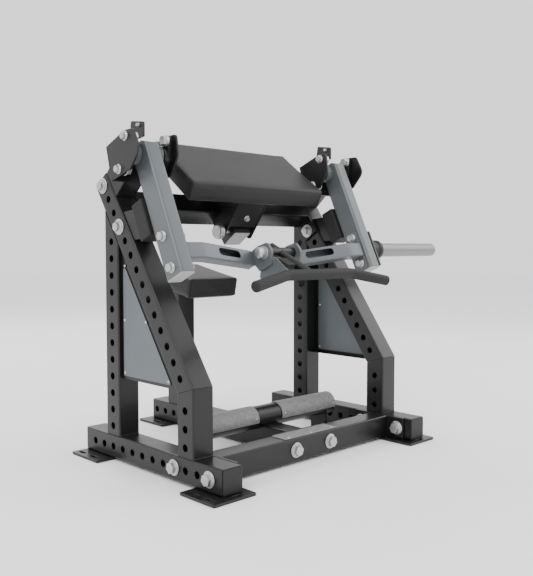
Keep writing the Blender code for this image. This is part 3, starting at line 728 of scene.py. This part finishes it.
def weld_ring(name, side, front, back):
    """Weld bead round the foot of a post: overlapping drops along a rounded square."""
    x0, x1 = span(side, INNER_X + 0.002, OUTER_X - 0.002)
    z = RAIL_Z[1] + 0.0012
    corners = rounded(rectangle((x0, x1), (front, back)), 0.006, 4)
    bm = bmesh.new()
    rings = []
    sides = 8
    dense = []
    for a, b in zip(corners, corners[1:] + corners[:1]):
        a, b = Vector(a), Vector(b)
        count = max(1, int((b - a).length / 0.0016))
        dense += [a.lerp(b, i / count) for i in range(count)]
    for i, point in enumerate(dense):
        along = (dense[(i + 1) % len(dense)] - dense[i - 1]).normalized()
        out = Vector((along.y, -along.x, 0))
        size = 0.0021 + 0.0005 * sin(i * 2.1) + 0.0002 * sin(i * 0.7)
        centre = Vector((point.x, point.y, z))
        rings.append([bm.verts.new(centre + out * size * cos(2 * pi * s / sides)
                                   + Vector((0, 0, size * sin(2 * pi * s / sides)))) for s in range(sides)])
    for i, near in enumerate(rings):
        far = rings[(i + 1) % len(rings)]
        for s in range(sides):
            t = (s + 1) % sides
            bm.faces.new((near[s], near[t], far[t], far[s]))
    black_piece(name, bm, smooth=80)


def side_panels():
    """Painted sheet riveted on a folded black border."""
    edge = 0.0004
    back = UPRIGHT_Y - HALF - edge
    front = POST_Y + HALF + edge
    clear = -HALF - edge
    top_z = diagonal_z(back, clear)
    toe = max(front, back - (top_z - 0.252) * sin(LEAN) / cos(LEAN))
    whole = [(toe, 0.252), (back, 0.252), (back, top_z)]
    sheet_clear = -HALF - 0.022
    low_z = 0.262
    foot_y = TOP_HOLE[0] + (low_z - in_diagonal(0, sheet_clear)[1]) * sin(LEAN) / cos(LEAN)
    foot_y += in_diagonal(0, sheet_clear)[0] - TOP_HOLE[0]
    sheet = [(foot_y, low_z), (0.128, low_z), (0.128, diagonal_z(0.128, sheet_clear))]
    rivets = [(0.119, 0.585), (0.121, 0.426), (0.015, 0.427), (0.121, 0.271), (-0.090, 0.271)]
    for word, side in SIDES.items():
        border = slab(whole, span(side, 0.4225, 0.4275))
        lip = box(span(side, 0.392, 0.4225), (toe + 0.004, back), (0.252, 0.254))
        black_piece("panel_border_" + word, merged(border, lip), ["side_panel_" + word],
                    soften=0.0008)
        skin = slab(rounded(sheet, [0.006, 0.004, 0.010]), span(side, 0.4278, 0.4305))
        place_piece("panel_sheet_" + word, skin, "panel", "frame", soften=0.0006)
        back_skin = slab(rounded(sheet, [0.006, 0.004, 0.010]), span(side, 0.4205, 0.4222))
        place_piece("panel_inner_sheet_" + word, back_skin, "panel", "frame", soften=0.0004)
        for i, (y, z) in enumerate(rivets):
            button_screw("panel_rivet_%s_%d" % (word, i), (side * 0.4305, y, z), (side, 0, 0), 0.0042)
            button_screw("panel_rivet_inner_%s_%d" % (word, i), (side * 0.4205, y, z), (-side, 0, 0), 0.0042)


# ---------- top of the frame ----------

def crossbeam():
    inner = INNER_X - GAP
    beam = tube(rectangle((BEAM_ALONG - HALF, BEAM_ALONG + HALF), (-HALF, HALF), in_diagonal),
                (-inner + PLATE, inner - PLATE), (1, 0, 0))
    black_piece("crossbeam_tube", beam, ["top_crossbeam"], soften=0.0005)
    for word, side in SIDES.items():
        outline = rectangle((BEAM_ALONG - 0.100, BEAM_ALONG + 0.100), (-HALF, HALF), in_diagonal)
        flange = slab(rounded(outline, 0.008), span(side, inner - PLATE, inner))
        black_piece("crossbeam_flange_" + word, flange, soften=0.001)
    end = BEAM_ALONG + HALF + 0.080
    down = (0, -sin(LEAN), -cos(LEAN))
    outline = rectangle((BEAM_ALONG + HALF - 0.001, end - 0.002), (-HALF, HALF), in_diagonal)
    stub = tube(outline, (-HALF, HALF), down)
    black_piece("stub_tube", stub, soften=0.0005)
    ring = rounded(rectangle((-0.033, 0.033), (-0.033, 0.033)), 0.005)
    cap = prism([(x, *in_diagonal(end - 0.002, c)) for x, c in ring], Vector(down) * 0.002)
    place_piece("stub_cap", cap, "pale_cap", "frame", soften=0.0007)


def pivot_outline():
    sharp = [PLATE_TOP, PLATE_BOTTOM, (0.012, 0.854), (-0.034, 0.908), (-0.002, 0.965), (0.040, 0.964)]
    return rounded(sharp, [0.003, 0.004, 0.006, 0.032, 0.014, 0.006], 7)


def inner_outline():
    """The inner plate has a shorter nose than the outer one."""
    sharp = [PLATE_TOP, PLATE_BOTTOM, (0.034, 0.847), (-0.002, 0.905), (0.006, 0.965), (0.040, 0.964)]
    return rounded(sharp, [0.003, 0.004, 0.006, 0.030, 0.014, 0.006], 7)


def pivots():
    for word, side in SIDES.items():
        for place, (near, far) in (("outer", OUTER_PLATE_X), ("inner", INNER_PLATE_X)):
            outline = pivot_outline() if place == "outer" else inner_outline()
            plate = slab(outline, span(side, near, far))
            black_piece("pivot_cheek_%s_%s" % (place, word), plate,
                        ["pivot_plate_%s_%s" % (place, word)], soften=0.0009)
        pivot_mount(word, side)
        bearings(word, side)
        axle(word, side)
        limiter(word, side)


def pivot_mount(word, side):
    top, bottom = Vector(PLATE_TOP), Vector(PLATE_BOTTOM)
    up = (top - bottom).normalized()
    back = Vector((up.y, -up.x))
    near, far = bottom + back * GAP, top + back * GAP
    bridge = [near, far, far + back * PLATE, near + back * PLATE]
    black_piece("pivot_bridge_" + word, slab([tuple(p) for p in bridge],
                                             span(side, INNER_PLATE_X[0], OUTER_PLATE_X[1])),
                ["pivot_mount_" + word], soften=0.001)
    face = HALF + GAP
    stand = [tuple(near + back * PLATE), in_diagonal(0.016, face), in_diagonal(DIAGONAL_TOP, face),
             tuple(far + back * PLATE)]
    black_piece("pivot_stand_" + word, slab(stand, span(side, 0.372, 0.438)), soften=0.003,
                segments=3)


def bearing_flange(middle_at, ears, ear_radius, waist):
    top, bottom = Vector(ears[0]), Vector(ears[1])
    up = (top - bottom).normalized()
    across = Vector((up.y, -up.x))
    centre = Vector(middle_at)
    points = []
    for ear, direction, side in ((top, up, across), (bottom, -up, -across)):
        for step in range(9):
            angle = radians(10 + 20 * step)
            points.append(tuple(ear + side * ear_radius * cos(angle) + direction * ear_radius * sin(angle)))
        for step in range(5):
            angle = radians(-28 + 14 * step)
            points.append(tuple(centre - side * waist * cos(angle) - direction * waist * sin(angle)))
    return points


def bearings(word, side):
    """Cast two-bolt bearing housings with a raised hub and an insert ring."""
    for place, base, push in (("outer", OUTER_PLATE_X[0] - GAP, -1), ("inner", INNER_PLATE_X[1] + GAP, 1)):
        start = side * base
        direction = (side * push, 0, 0)
        foot = slab(bearing_flange(PIVOT, EARS, 0.0155, 0.0305), (start, start + side * push * 0.013))
        hub = turned([(0.0153, 0), (0.0305, 0), (0.0300, 0.020), (0.0275, 0.0240), (0.0245, 0.0240),
                      (0.0235, 0.0215), (0.0200, 0.0215), (0.0195, 0.0270), (0.0153, 0.0270), (0.0153, 0)],
                     (start, *PIVOT), direction, 64)
        black_piece("bearing_housing_%s_%s" % (place, word), merged(foot, hub),
                    ["pivot_bearing_%s_%s" % (place, word)], soften=0.0012)
        outside = side * (OUTER_PLATE_X[1] if place == "outer" else INNER_PLATE_X[0])
        for i, ear in enumerate(EARS):
            bolt("bearing_bolt_%s_%s_%d" % (place, word, i), (outside, *ear), (-side * push, 0, 0),
                 washer_radius=0.0140, head=0.0108, height=0.0065, turn=0.3 + i)
            bolt("bearing_nut_%s_%s_%d" % (place, word, i), (start + side * push * 0.013, *ear), direction,
                 washer_radius=0.0165, head=0.0140, height=0.012, turn=0.1 + i)


def axle(word, side):
    """Axle with a collar on each face of the arm."""
    low, high = INNER_PLATE_X[1] + 0.002, OUTER_PLATE_X[0] - 0.002
    bar = turned([(0, 0), (0.0140, 0), (0.0150, 0.001), (0.0150, high - low - 0.001), (0.0140, high - low),
                  (0, high - low)], (side * low, *PIVOT), (side, 0, 0))
    place_piece("axle_" + word, bar, "steel", "lever", ["pivot_axle_" + word])
    for name, near, far in (("outer", ARM_X + ARM_HALF, 0.4465), ("inner", 0.3555, ARM_X - ARM_HALF)):
        length = far - near
        ring = turned([(AXLE_BORE, 0), (0.0290, 0), (0.0310, 0.0020), (0.0310, length - 0.0020),
                       (0.0290, length), (AXLE_BORE, length), (AXLE_BORE, 0)], (side * near, *PIVOT),
                       (side, 0, 0))
        place_piece("axle_boss_%s_%s" % (name, word), ring, "blue", "lever")


def limiter(word, side):
    outline = [(0.1265, 0.9355), (0.117, 1.006), (0.055, 0.998), (0.055, 0.956), (0.106, 0.948)]
    tab = slab(rounded(outline, [0.002, 0.005, 0.006, 0.004, 0.010]), span(side, 0.400, 0.406))
    black_piece("limiter_plate_" + word, tab, ["limiter_tab_" + word], soften=0.0008)
    for x, push in ((0.400, -1), (0.406, 1)):
        name = "limiter_screw_%s_%s" % ("in" if push < 0 else "out", word)
        bolt(name, (side * x, 0.077, 0.990), (side * push, 0, 0), washer_radius=0.0058, head=0.0048,
             height=0.003)


def bumpers():
    """Rubber block and its steel bracket on the diagonal."""
    face = ARM_DEPTH + GAP
    low, high, depth = 0.146, 0.259, 0.051
    outline = rectangle((low, high), (face, face + depth), in_arm)
    back = face + depth + GAP
    front = HALF + GAP
    bracket = [in_arm(low + 0.010, back), in_diagonal(0.172, front), in_diagonal(0.072, front),
               in_arm(high - 0.010, back)]
    for word, side in SIDES.items():
        place_piece("rubber_block_" + word, slab(outline, span(side, INNER_X, OUTER_X)), "rubber", "frame",
                    ["bumper_" + word], soften=0.004, segments=3)
        black_piece("rubber_bracket_" + word, slab(bracket, span(side, 0.375, 0.435)),
                    ["bumper_bracket_" + word], soften=0.002, segments=3)


# ---------- foot tube ----------

def foot_tube():
    y, z = FOOT_TUBE
    tube_body = turned([(0, 0), (0.0340, 0), (0.0360, 0.002), (0.0360, 0.622), (0.0340, 0.624), (0, 0.624)],
                       (-0.312, y, z), (1, 0, 0), 64)
    black_piece("foot_bar", tube_body, ["foot_tube"])
    for word, (x0, x1) in {"left": (-0.308, -0.053), "right": (0.050, 0.308)}.items():
        inner, outer = FOOT_BORE, SHELL_RADIUS
        angles = [radians(15 + 180 * step / 40) for step in range(41)]
        outline = [(y + inner * cos(a), z + inner * sin(a)) for a in angles]
        outline += [(y + outer * cos(a), z + outer * sin(a)) for a in reversed(angles)]
        place_piece("grip_shell_" + word, slab(outline, (x0, x1)), "grip", "frame", ["foot_shell_" + word],
                    soften=0.0005, smooth=35)
        for i, x in enumerate((x0 + 0.012, x1 - 0.012)):
            angle = radians(180 - 6)
            out = Vector((0, cos(angle), sin(angle)))
            at = Vector((x, y, z)) + out * SHELL_RADIUS
            button_screw("shell_screw_%s_%d" % (word, i), at, out, 0.0035)
    for word, side in SIDES.items():
        outline = rounded(rectangle((y - 0.033, y + 0.034), (0, z - 0.012)), 0.003)
        leg = carve(slab(outline, span(side, 0.262, 0.270)),
                    ("DIFFERENCE", cylinder((side * 0.2, y, z), (side, 0, 0), FOOT_BORE, 0.1)))
        black_piece("foot_bar_leg_" + word, leg, ["foot_tube_leg_" + word], soften=0.0008)


# ---------- seat ----------

def seat_frame():
    top = SEAT_THICK + GAP
    plate = slab([in_seat(0.040, top), in_seat(0.040, top + 0.006), in_seat(0.215, top + 0.006),
                  in_seat(0.215, top)], (-0.060, 0.060))
    black_piece("seat_plate", plate, ["seat_bracket"], soften=0.001)
    start_y, start_z = in_seat(0, top + 0.006)
    slope = sin(SEAT_PITCH) / cos(SEAT_PITCH)
    heights = [start_z + (y - start_y) * slope - GAP for y in (0.380, 0.450)]
    outline = [(0.380, RAIL_Z[1] + GAP), (0.450, RAIL_Z[1] + GAP), (0.450, heights[1]), (0.380, heights[0])]
    black_piece("seat_post_tube", tube(outline, (-HALF, HALF), (0, 0, 1)), ["seat_post"],
                soften=0.0005)


# ---------- pads ----------

def cushion(name, outline, half_width, body, replaced):
    """A stuffed pad: the section extruded along X, then swollen by a short cloth simulation."""
    shrink = 0.0002
    section = inset(outline, shrink)
    bm = slab(section, (-half_width + shrink, half_width - shrink))
    bmesh.ops.bevel(bm, geom=list(bm.edges), offset=PAD_EDGE, segments=3, affect="EDGES", profile=0.5)
    obj = scratch(bm)
    remesh = obj.modifiers.new("remesh", "REMESH")
    remesh.mode = "VOXEL"
    remesh.voxel_size = 0.0045
    bake(obj)
    start = [vertex.co.copy() for vertex in obj.data.vertices]
    swell(obj)
    for vertex, was in zip(obj.data.vertices, start):
        move = vertex.co - was
        if move.length > PAD_CROWN:
            vertex.co = was + move.normalized() * PAD_CROWN
    soften = obj.modifiers.new("soften", "SMOOTH")
    soften.factor = 0.5
    soften.iterations = 2
    bake(obj)
    finer = obj.modifiers.new("finer", "SUBSURF")
    finer.levels = 1
    finer.render_levels = 1
    bake(obj)
    obj.name = name
    dress(obj, "vinyl", body, replaced, smooth=60)


def bake(obj):
    bpy.context.view_layer.update()
    graph = bpy.context.evaluated_depsgraph_get()
    mesh = bpy.data.meshes.new_from_object(obj.evaluated_get(graph))
    obj.modifiers.clear()
    old = obj.data
    obj.data = mesh
    bpy.data.meshes.remove(old)


def swell(obj):
    cloth = obj.modifiers.new("cloth", "CLOTH")
    settings = cloth.settings
    settings.quality = 4
    settings.use_pressure = True
    settings.uniform_pressure_force = 2.5
    settings.effector_weights.gravity = 0
    settings.tension_stiffness = 15
    settings.compression_stiffness = 15
    settings.bending_stiffness = 0.5
    scene = bpy.context.scene
    for number in range(1, 21):
        scene.frame_set(number)
    bake(obj)
    scene.frame_set(1)


def back_pad():
    back = PAD_THICK - PAD_BOARD
    flare = PAD_BEVEL / PAD_THICK
    section = [in_pad(-0.005, -0.002), in_pad(-flare * back, back), in_pad(PAD_FACE + flare * back, back),
               in_pad(PAD_FACE, 0)]
    half = 0.283
    cushion("back_pad_cover", section, half, "pad_carriage", ["back_pad"])
    backing = [in_pad(0, back - 0.004), in_pad(0, PAD_THICK), in_pad(PAD_FACE, PAD_THICK),
               in_pad(PAD_FACE, back - 0.004)]
    place_piece("back_pad_board", slab(backing, (-half + 0.012, half - 0.012)), "board", "pad_carriage",
                soften=0.0015)


def seat_pad():
    back = SEAT_THICK - PAD_BOARD
    half = 0.1045
    section = [in_seat(0, 0), in_seat(0, back), in_seat(SEAT_LENGTH, back), in_seat(SEAT_LENGTH, 0)]
    cushion("seat_pad_cover", section, half, "frame", ["seat_pad"])
    backing = [in_seat(0.010, back - 0.004), in_seat(0.010, SEAT_THICK),
               in_seat(SEAT_LENGTH - 0.010, SEAT_THICK), in_seat(SEAT_LENGTH - 0.010, back - 0.004)]
    place_piece("seat_pad_board", slab(backing, (-half + 0.010, half - 0.010)), "board", "frame",
                soften=0.0015)


def pad_yoke():
    top = PAD_THICK + GAP
    plate = slab(rectangle((0, 0.150), (top, top + 0.006), in_pad), (-0.095, 0.095))
    place_piece("yoke_base", plate, "black", "pad_carriage", ["pad_yoke"], soften=0.001)
    weld = top + 0.006
    under, ahead = BEAM_ALONG + HALF + 0.003, HALF + 0.003
    cheek = [in_pad(0.004, weld), in_pad(0.004, 0.200), in_pad(0.012, 0.208), in_pad(0.034, 0.208),
             in_diagonal(under, -0.010), in_diagonal(under, ahead), in_diagonal(-0.008, ahead),
             in_pad(0.140, weld)]
    for word, side in SIDES.items():
        place_piece("yoke_cheek_" + word, slab(cheek, span(side, 0.057, 0.063)), "black", "pad_carriage",
                    soften=0.0009)
    web = slab([in_pad(0.006, weld), in_pad(0.006, 0.158), in_pad(0.012, 0.158), in_pad(0.012, weld)],
               (-0.0567, 0.0567))
    place_piece("yoke_web", web, "black", "pad_carriage", soften=0.0008)
    out = Vector((0, *in_pad(0, 0.1))) - Vector((0, *in_pad(0.1, 0.1)))
    bolt("yoke_bolt", (0, *in_pad(0.006, 0.122)), out, "pad_carriage", 0.010, 0.008, 0.005)
    for x in (-0.080, 0.080):
        for along in (0.030, 0.125):
            down = Vector((0, *in_pad(0, 0.1))) - Vector((0, *in_pad(0, 0)))
            bolt("yoke_pad_bolt_%d_%d" % (round(x * 1000), round(along * 1000)),
                 (x, *in_pad(along, top + 0.006)), down, "pad_carriage", 0.0095, 0.0075, 0.005)


def pull_pin():
    y, z = PULL_PIN
    knob = turned([(0, 0), (0.0170, 0), (0.0225, 0.0012), (0.0250, 0.0045), (0.0250, 0.0145), (0.0235,
                                                                                               0.0185),
                   (0.0185, 0.0205), (0.0160, 0.0198), (0, 0.0198)], (-0.0715, y, z), (-1, 0, 0), 64)
    shaft = turned([(0, 0), (0.0045, 0), (0.006, 0.0025), (0.006, 0.040), (0, 0.040)],
                   (-0.0355, y, z), (-1, 0, 0), 32)
    place_piece("pin_knob", merged(knob, shaft), "knob", "pull_pin", ["pull_pin"], smooth=35)
    barrel = turned([(0.0063, 0), (0.0105, 0), (0.0105, 0.0065), (0.0095, 0.0075), (0.0063, 0.0075),
                     (0.0063, 0)],
                    (-0.0633, y, z), (-1, 0, 0), 32)
    place_piece("pin_barrel", barrel, "steel", "pad_carriage")


# ---------- lever ----------

def lever_arms():
    up = (0, sin(ARM_LEAN), cos(ARM_LEAN))
    outline = [in_arm(0.003, 0), in_arm(0.003, ARM_DEPTH), in_arm(ARM_LENGTH - 0.014, ARM_DEPTH),
               in_arm(ARM_LENGTH, ARM_DEPTH - 0.014), in_arm(ARM_LENGTH, 0.016), in_arm(ARM_LENGTH - 0.012,
                                                                                        0)]
    for word, side in SIDES.items():
        x_range = span(side, ARM_X - ARM_HALF, ARM_X + ARM_HALF)
        arm = slab(outline, x_range)
        round_long_edges(arm, up, 0.0095, 6)
        arm = carve(arm, ("DIFFERENCE", holes_along_x([PIVOT], x_range, AXLE_BORE)))
        place_piece("arm_tube_" + word, arm, "blue", "lever", ["lever_arm_" + word], soften=0.0010)
        x0, x1 = x_range
        ring = rounded(rectangle((x0 + 0.001, x1 - 0.001), (0.001, ARM_DEPTH - 0.001)), 0.0085)
        cap = prism([(x, *in_arm(0.0028, depth)) for x, depth in ring], -Vector(up) * 0.0026)
        place_piece("arm_cap_" + word, cap, "pale_cap", "lever", soften=0.0008)
        for i, along in enumerate((0.0285, 0.1225)):
            at = in_arm(along, 0.0355)
            outer = ARM_X + ARM_HALF + (PLATE + GAP if side > 0 else 0)
            bolt("v_bar_bolt_%s_%d" % (word, i), (side * outer, *at), (side, 0, 0), "lever",
                 washer_radius=0.0155, head=0.0125, height=0.009, turn=0.2 + i)
            bolt("v_bar_nut_%s_%d" % (word, i), (side * V_ARM_X, *at), (-side, 0, 0), "lever",
                 washer_radius=0.0150, head=0.0120, height=0.011, turn=0.6 + i)


def v_bar_section(side, x, middle_along, front, wall=0.0):
    """Rectangle of the bent box at one x, with rounded corners; a wall makes it smaller."""
    low, high = middle_along - V_TALL / 2 + wall, middle_along + V_TALL / 2 - wall
    ring = rounded(rectangle((low, high), (front + wall, front + V_DEEP - wall)), 0.006 - wall / 2, 5)
    return [Vector((side * x, *in_arm(along, depth))) for along, depth in ring]


def v_bar_sections(side, ear_x, wall=0.0):
    """From the flange straight in, round a short bend and back towards the hub's ear."""
    spots = [(V_ARM_X - wall, V_BEND_MID, V_BEND_FRONT)]
    bend = 0.012
    for step in range(6):
        t = step / 5
        x = V_BEND_X + bend - 2 * bend * t
        spots.append((x, V_BEND_MID - V_SLOPE * bend * t * t, V_BEND_FRONT + V_SWEEP * bend * t * t))
    run = V_BEND_X - ear_x - wall
    spots.append((ear_x + wall, V_BEND_MID - V_SLOPE * run, V_BEND_FRONT + V_SWEEP * run))
    return [v_bar_section(side, *spot, wall) for spot in spots]


def slot_cut(side):
    """Long slot with round ends through the bar's front wall."""
    centre, half = SLOT_X[side], SLOT_HALF[side]
    middle_along = V_HUB_MID + V_SLOPE * (centre - V_HUB_X) + 0.003
    points = []
    for end in (1, -1):
        for step in range(13):
            angle = radians(-90 + 15 * step)
            x = end * (half + SLOT_RADIUS * cos(angle))
            points.append((centre + x, middle_along + end * SLOT_RADIUS * sin(angle) + V_SLOPE * x))
    inside = V_BEND_FRONT + 0.016
    near = [(side * x, *in_arm(along, -0.010)) for x, along in points]
    far = [(side * x, *in_arm(along, inside + V_SWEEP * (V_BEND_X - x))) for x, along in points]
    return lofted([near, far])


def hub_ear(side):
    nose = [(-0.0877, 0.5837), (-0.1065, 0.567), (-0.1547, 0.5875), (-0.160, 0.630), (-0.138, 0.6545),
            (-0.098, 0.643)]
    corners = [in_arm(0.045, 0.075), *nose, in_arm(0.080, 0.075)]
    return rounded(corners, [0.003, 0.004, 0.003, 0.003, 0.026, 0.012, 0.008, 0.003], 7)


def v_bar(word, side):
    ear = (HUB_X[0] - EAR, HUB_X[0]) if side < 0 else (HUB_X[1], HUB_X[1] + EAR)
    ear_x = abs(ear[0]) if side < 0 else ear[1]
    bar = lofted(v_bar_sections(side, ear_x))
    hollow = lofted(v_bar_sections(side, ear_x, V_WALL))
    bar = carve(bar, ("DIFFERENCE", hollow), ("DIFFERENCE", slot_cut(side)))
    place_piece("v_bar_box_" + word, bar, "blue", "lever", ["v_bar_" + word], soften=0.0008)
    flange = slab(rounded(rectangle((0.004, 0.140), (0.014, 0.066), in_arm), 0.006),
                  span(side, V_ARM_X, ARM_X - ARM_HALF - GAP))
    place_piece("v_bar_flange_" + word, flange, "blue", "lever", soften=0.0010)
    plate = carve(slab(hub_ear(side), ear), ("DIFFERENCE", holes_along_x([HUB], ear, HUB_BORE)))
    place_piece("v_bar_ear_" + word, plate, "blue", "lever", soften=0.0012)


def hub_pin():
    """Pivot bolt of the handle: a domed round head on the left and a nut on the right."""
    left, right = HUB_X[0] - EAR, HUB_X[1] + EAR
    start = left - 0.026
    length = right + 0.018 - start
    pin = turned([(0, 0), (0.0090, 0.0006), (0.0140, 0.0028), (0.0168, 0.0065), (0.0172, 0.0095),
                  (0.0172, 0.0235), (0.0080, 0.0235), (0.0080, length - 0.001), (0.0072, length), (0,
                                                                                                   length)],
                 (start, *HUB), (1, 0, 0), 64)
    place_piece("hub_bolt", pin, "steel", "lever", ["hub_pin"], soften=0.0004)
    place_piece("hub_washer_left", washer((left, *HUB), (-1, 0, 0), 0.0195, 0.0020), "steel", "lever")
    bolt("hub_nut", (right, *HUB), (1, 0, 0), "lever", washer_radius=0.0185, head=0.0145, height=0.011,
         turn=0.3)


def handle_stop():
    under = STEM_RADIUS + GAP
    inner = HUB_X[0] + GAP
    shelf = slab(rounded(rectangle((0.045, 0.095), (under, under + 0.006), on_stem), 0.0015),
                 (inner + 0.003, STEM_X + STEM_RADIUS))
    place_piece("stop_shelf", shelf, "blue", "lever", ["handle_stop"], soften=0.0008)
    corners = [(-0.1010, 0.5651), (-0.0985, 0.5455), (-0.150, 0.538), (-0.190, 0.552), (-0.2165, 0.574),
               (-0.170, 0.6070), (-0.1394, 0.5920)]
    cheek = slab(rounded(corners, [0.002, 0.006, 0.010, 0.010, 0.003, 0.004, 0.002]), (inner, inner + 0.006))
    place_piece("stop_cheek", cheek, "blue", "lever", soften=0.0010)
    # Dark block in the gap beside the stem, over the shelf: painted shade that stands in for the shadow
    # under the stem, in the black rubber finish
    pad = slab(rounded(rectangle((0.047, 0.093), (-0.006, under - 0.0004), on_stem), 0.002),
               (inner + 0.0065, STEM_X - STEM_RADIUS - 0.001))
    place_piece("stop_shade_block", pad, "rubber", "lever", soften=0.0010)


def weight_horn():
    outer = ARM_X + ARM_HALF + GAP
    plate = slab(rounded(rectangle((0.006, 0.136), (0, ARM_DEPTH), in_arm), 0.005), (outer, outer + PLATE))
    place_piece("horn_plate", plate, "black", "lever", ["horn_mount"], soften=0.0012)
    start = outer + PLATE
    length = COLLAR_END - GAP - start
    collar = turned([(0, 0), (0.0320, 0), (0.0305, 0.003), (0.0305, length - 0.017),
                     (0.0325, length - 0.016), (0.0340, length - 0.014), (0.0340, length - 0.002),
                     (0.0325, length), (0, length)], (start, *HORN), (1, 0, 0), 64)
    place_piece("horn_collar", collar, "cap", "lever", soften=0.0006)
    reach = HORN_END - COLLAR_END
    sleeve = turned([(0, 0), (0.0240, 0), (0.0240, reach - 0.006), (0.0238, reach - 0.0035),
                     (0.0222, reach - 0.0008), (0.0205, reach), (0.0150, reach), (0.0145, reach - 0.0012),
                     (0, reach - 0.0012)], (COLLAR_END, *HORN), (1, 0, 0), 96)
    place_piece("horn_tube", sleeve, "sleeve", "lever", ["horn_sleeve"])


# ---------- handle ----------

def handle():
    low, high = HUB_X[0] + GAP, HUB_X[1] - GAP
    width = high - low
    sleeve = turned([(HUB_BORE, 0), (SLEEVE_RADIUS - 0.001, 0), (SLEEVE_RADIUS, 0.001),
                     (SLEEVE_RADIUS, width - 0.001), (SLEEVE_RADIUS - 0.001, width), (HUB_BORE, width),
                     (HUB_BORE, 0)], (low, *HUB), (1, 0, 0), 64)
    place_piece("hub_sleeve", sleeve, "black", "handle", ["handle_stem"])
    at = (STEM_X, *on_stem(-0.040, 0))
    bar = cylinder(at, (0, REACH.x, REACH.y), STEM_RADIUS, STEM_LENGTH + 0.030, 48)
    bar = carve(bar, ("DIFFERENCE", cylinder((-0.09, *HANDLE_MID), (1, 0, 0), GRIP_BORE, 0.11)),
                ("DIFFERENCE", cylinder((-0.09, *HUB), (1, 0, 0), HUB_BORE, 0.11)))
    place_piece("stem_tube", bar, "black", "handle", soften=0.0005, smooth=35)
    points = [(-GRIP_END_X, *HANDLE_TIP), (-GRIP_BEND_X, *HANDLE_MID), (GRIP_BEND_X, *HANDLE_MID),
              (GRIP_END_X, *HANDLE_TIP)]
    grip = swept(rounded_route(points, 0.10, 10), GRIP_RADIUS, 36, 0.004)
    place_piece("grip_bar", grip, "rubber", "handle", ["handle_grip"], smooth=50)


# ---------- stage ----------

def studio():
    floor_mesh = bmesh.new()
    bmesh.ops.create_grid(floor_mesh, x_segments=1, y_segments=1, size=14)
    mesh = bpy.data.meshes.new("floor")
    floor_mesh.to_mesh(mesh)
    floor_mesh.free()
    floor = bpy.data.objects.new("floor", mesh)
    floor.location = (0, 0, -0.0005)
    bpy.context.scene.collection.objects.link(floor)
    paint = bpy.data.materials.new("floor_paint")
    paint.use_nodes = True
    shader = paint.node_tree.nodes["Principled BSDF"]
    shader.inputs["Base Color"].default_value = (0.97, 0.97, 0.97, 1)
    shader.inputs["Roughness"].default_value = 0.9
    mesh.materials.append(paint)
    world = bpy.data.worlds.new("studio")
    world.use_nodes = True
    sky = world.node_tree.nodes["Background"]
    sky.inputs["Color"].default_value = (1, 1, 1, 1)
    sky.inputs["Strength"].default_value = 1.45
    bpy.context.scene.world = world
    area("key_light", (-3.6, -2.4, 3.4), 2.8, 110)
    area("fill_light", (3.0, -1.8, 2.4), 2.6, 50)
    area("back_light", (0.4, 3.2, 3.4), 2.6, 90)


def area(name, at, size, power):
    data = bpy.data.lights.new(name, "AREA")
    data.size = size
    data.energy = power
    light = bpy.data.objects.new(name, data)
    light.location = at
    aim = Vector((0, MID.y, 0.5)) - Vector(at)
    light.rotation_euler = aim.to_track_quat("-Z", "Y").to_euler()
    bpy.context.scene.collection.objects.link(light)


def camera():
    data = bpy.data.cameras.new("camera")
    data.sensor_fit = "HORIZONTAL"
    data.sensor_width = 36
    data.lens = CAMERA_LENS
    eye = bpy.data.objects.new("camera", data)
    eye.location = Vector(CAMERA_AT) + MID
    eye.rotation_euler = (radians(90 - CAMERA_DIP), 0, radians(CAMERA_HEADING))
    bpy.context.scene.collection.objects.link(eye)
    bpy.context.scene.camera = eye


def build():
    camera()
    studio()
    base_rails()
    foot_plates()
    front_beam()
    grip_strips()
    spine()
    side_frames()
    side_panels()
    crossbeam()
    pivots()
    bumpers()
    foot_tube()
    seat_frame()
    seat_pad()
    back_pad()
    pad_yoke()
    pull_pin()
    lever_arms()
    for word, side in SIDES.items():
        v_bar(word, side)
    handle_stop()
    weight_horn()
    hub_pin()
    handle()


build()
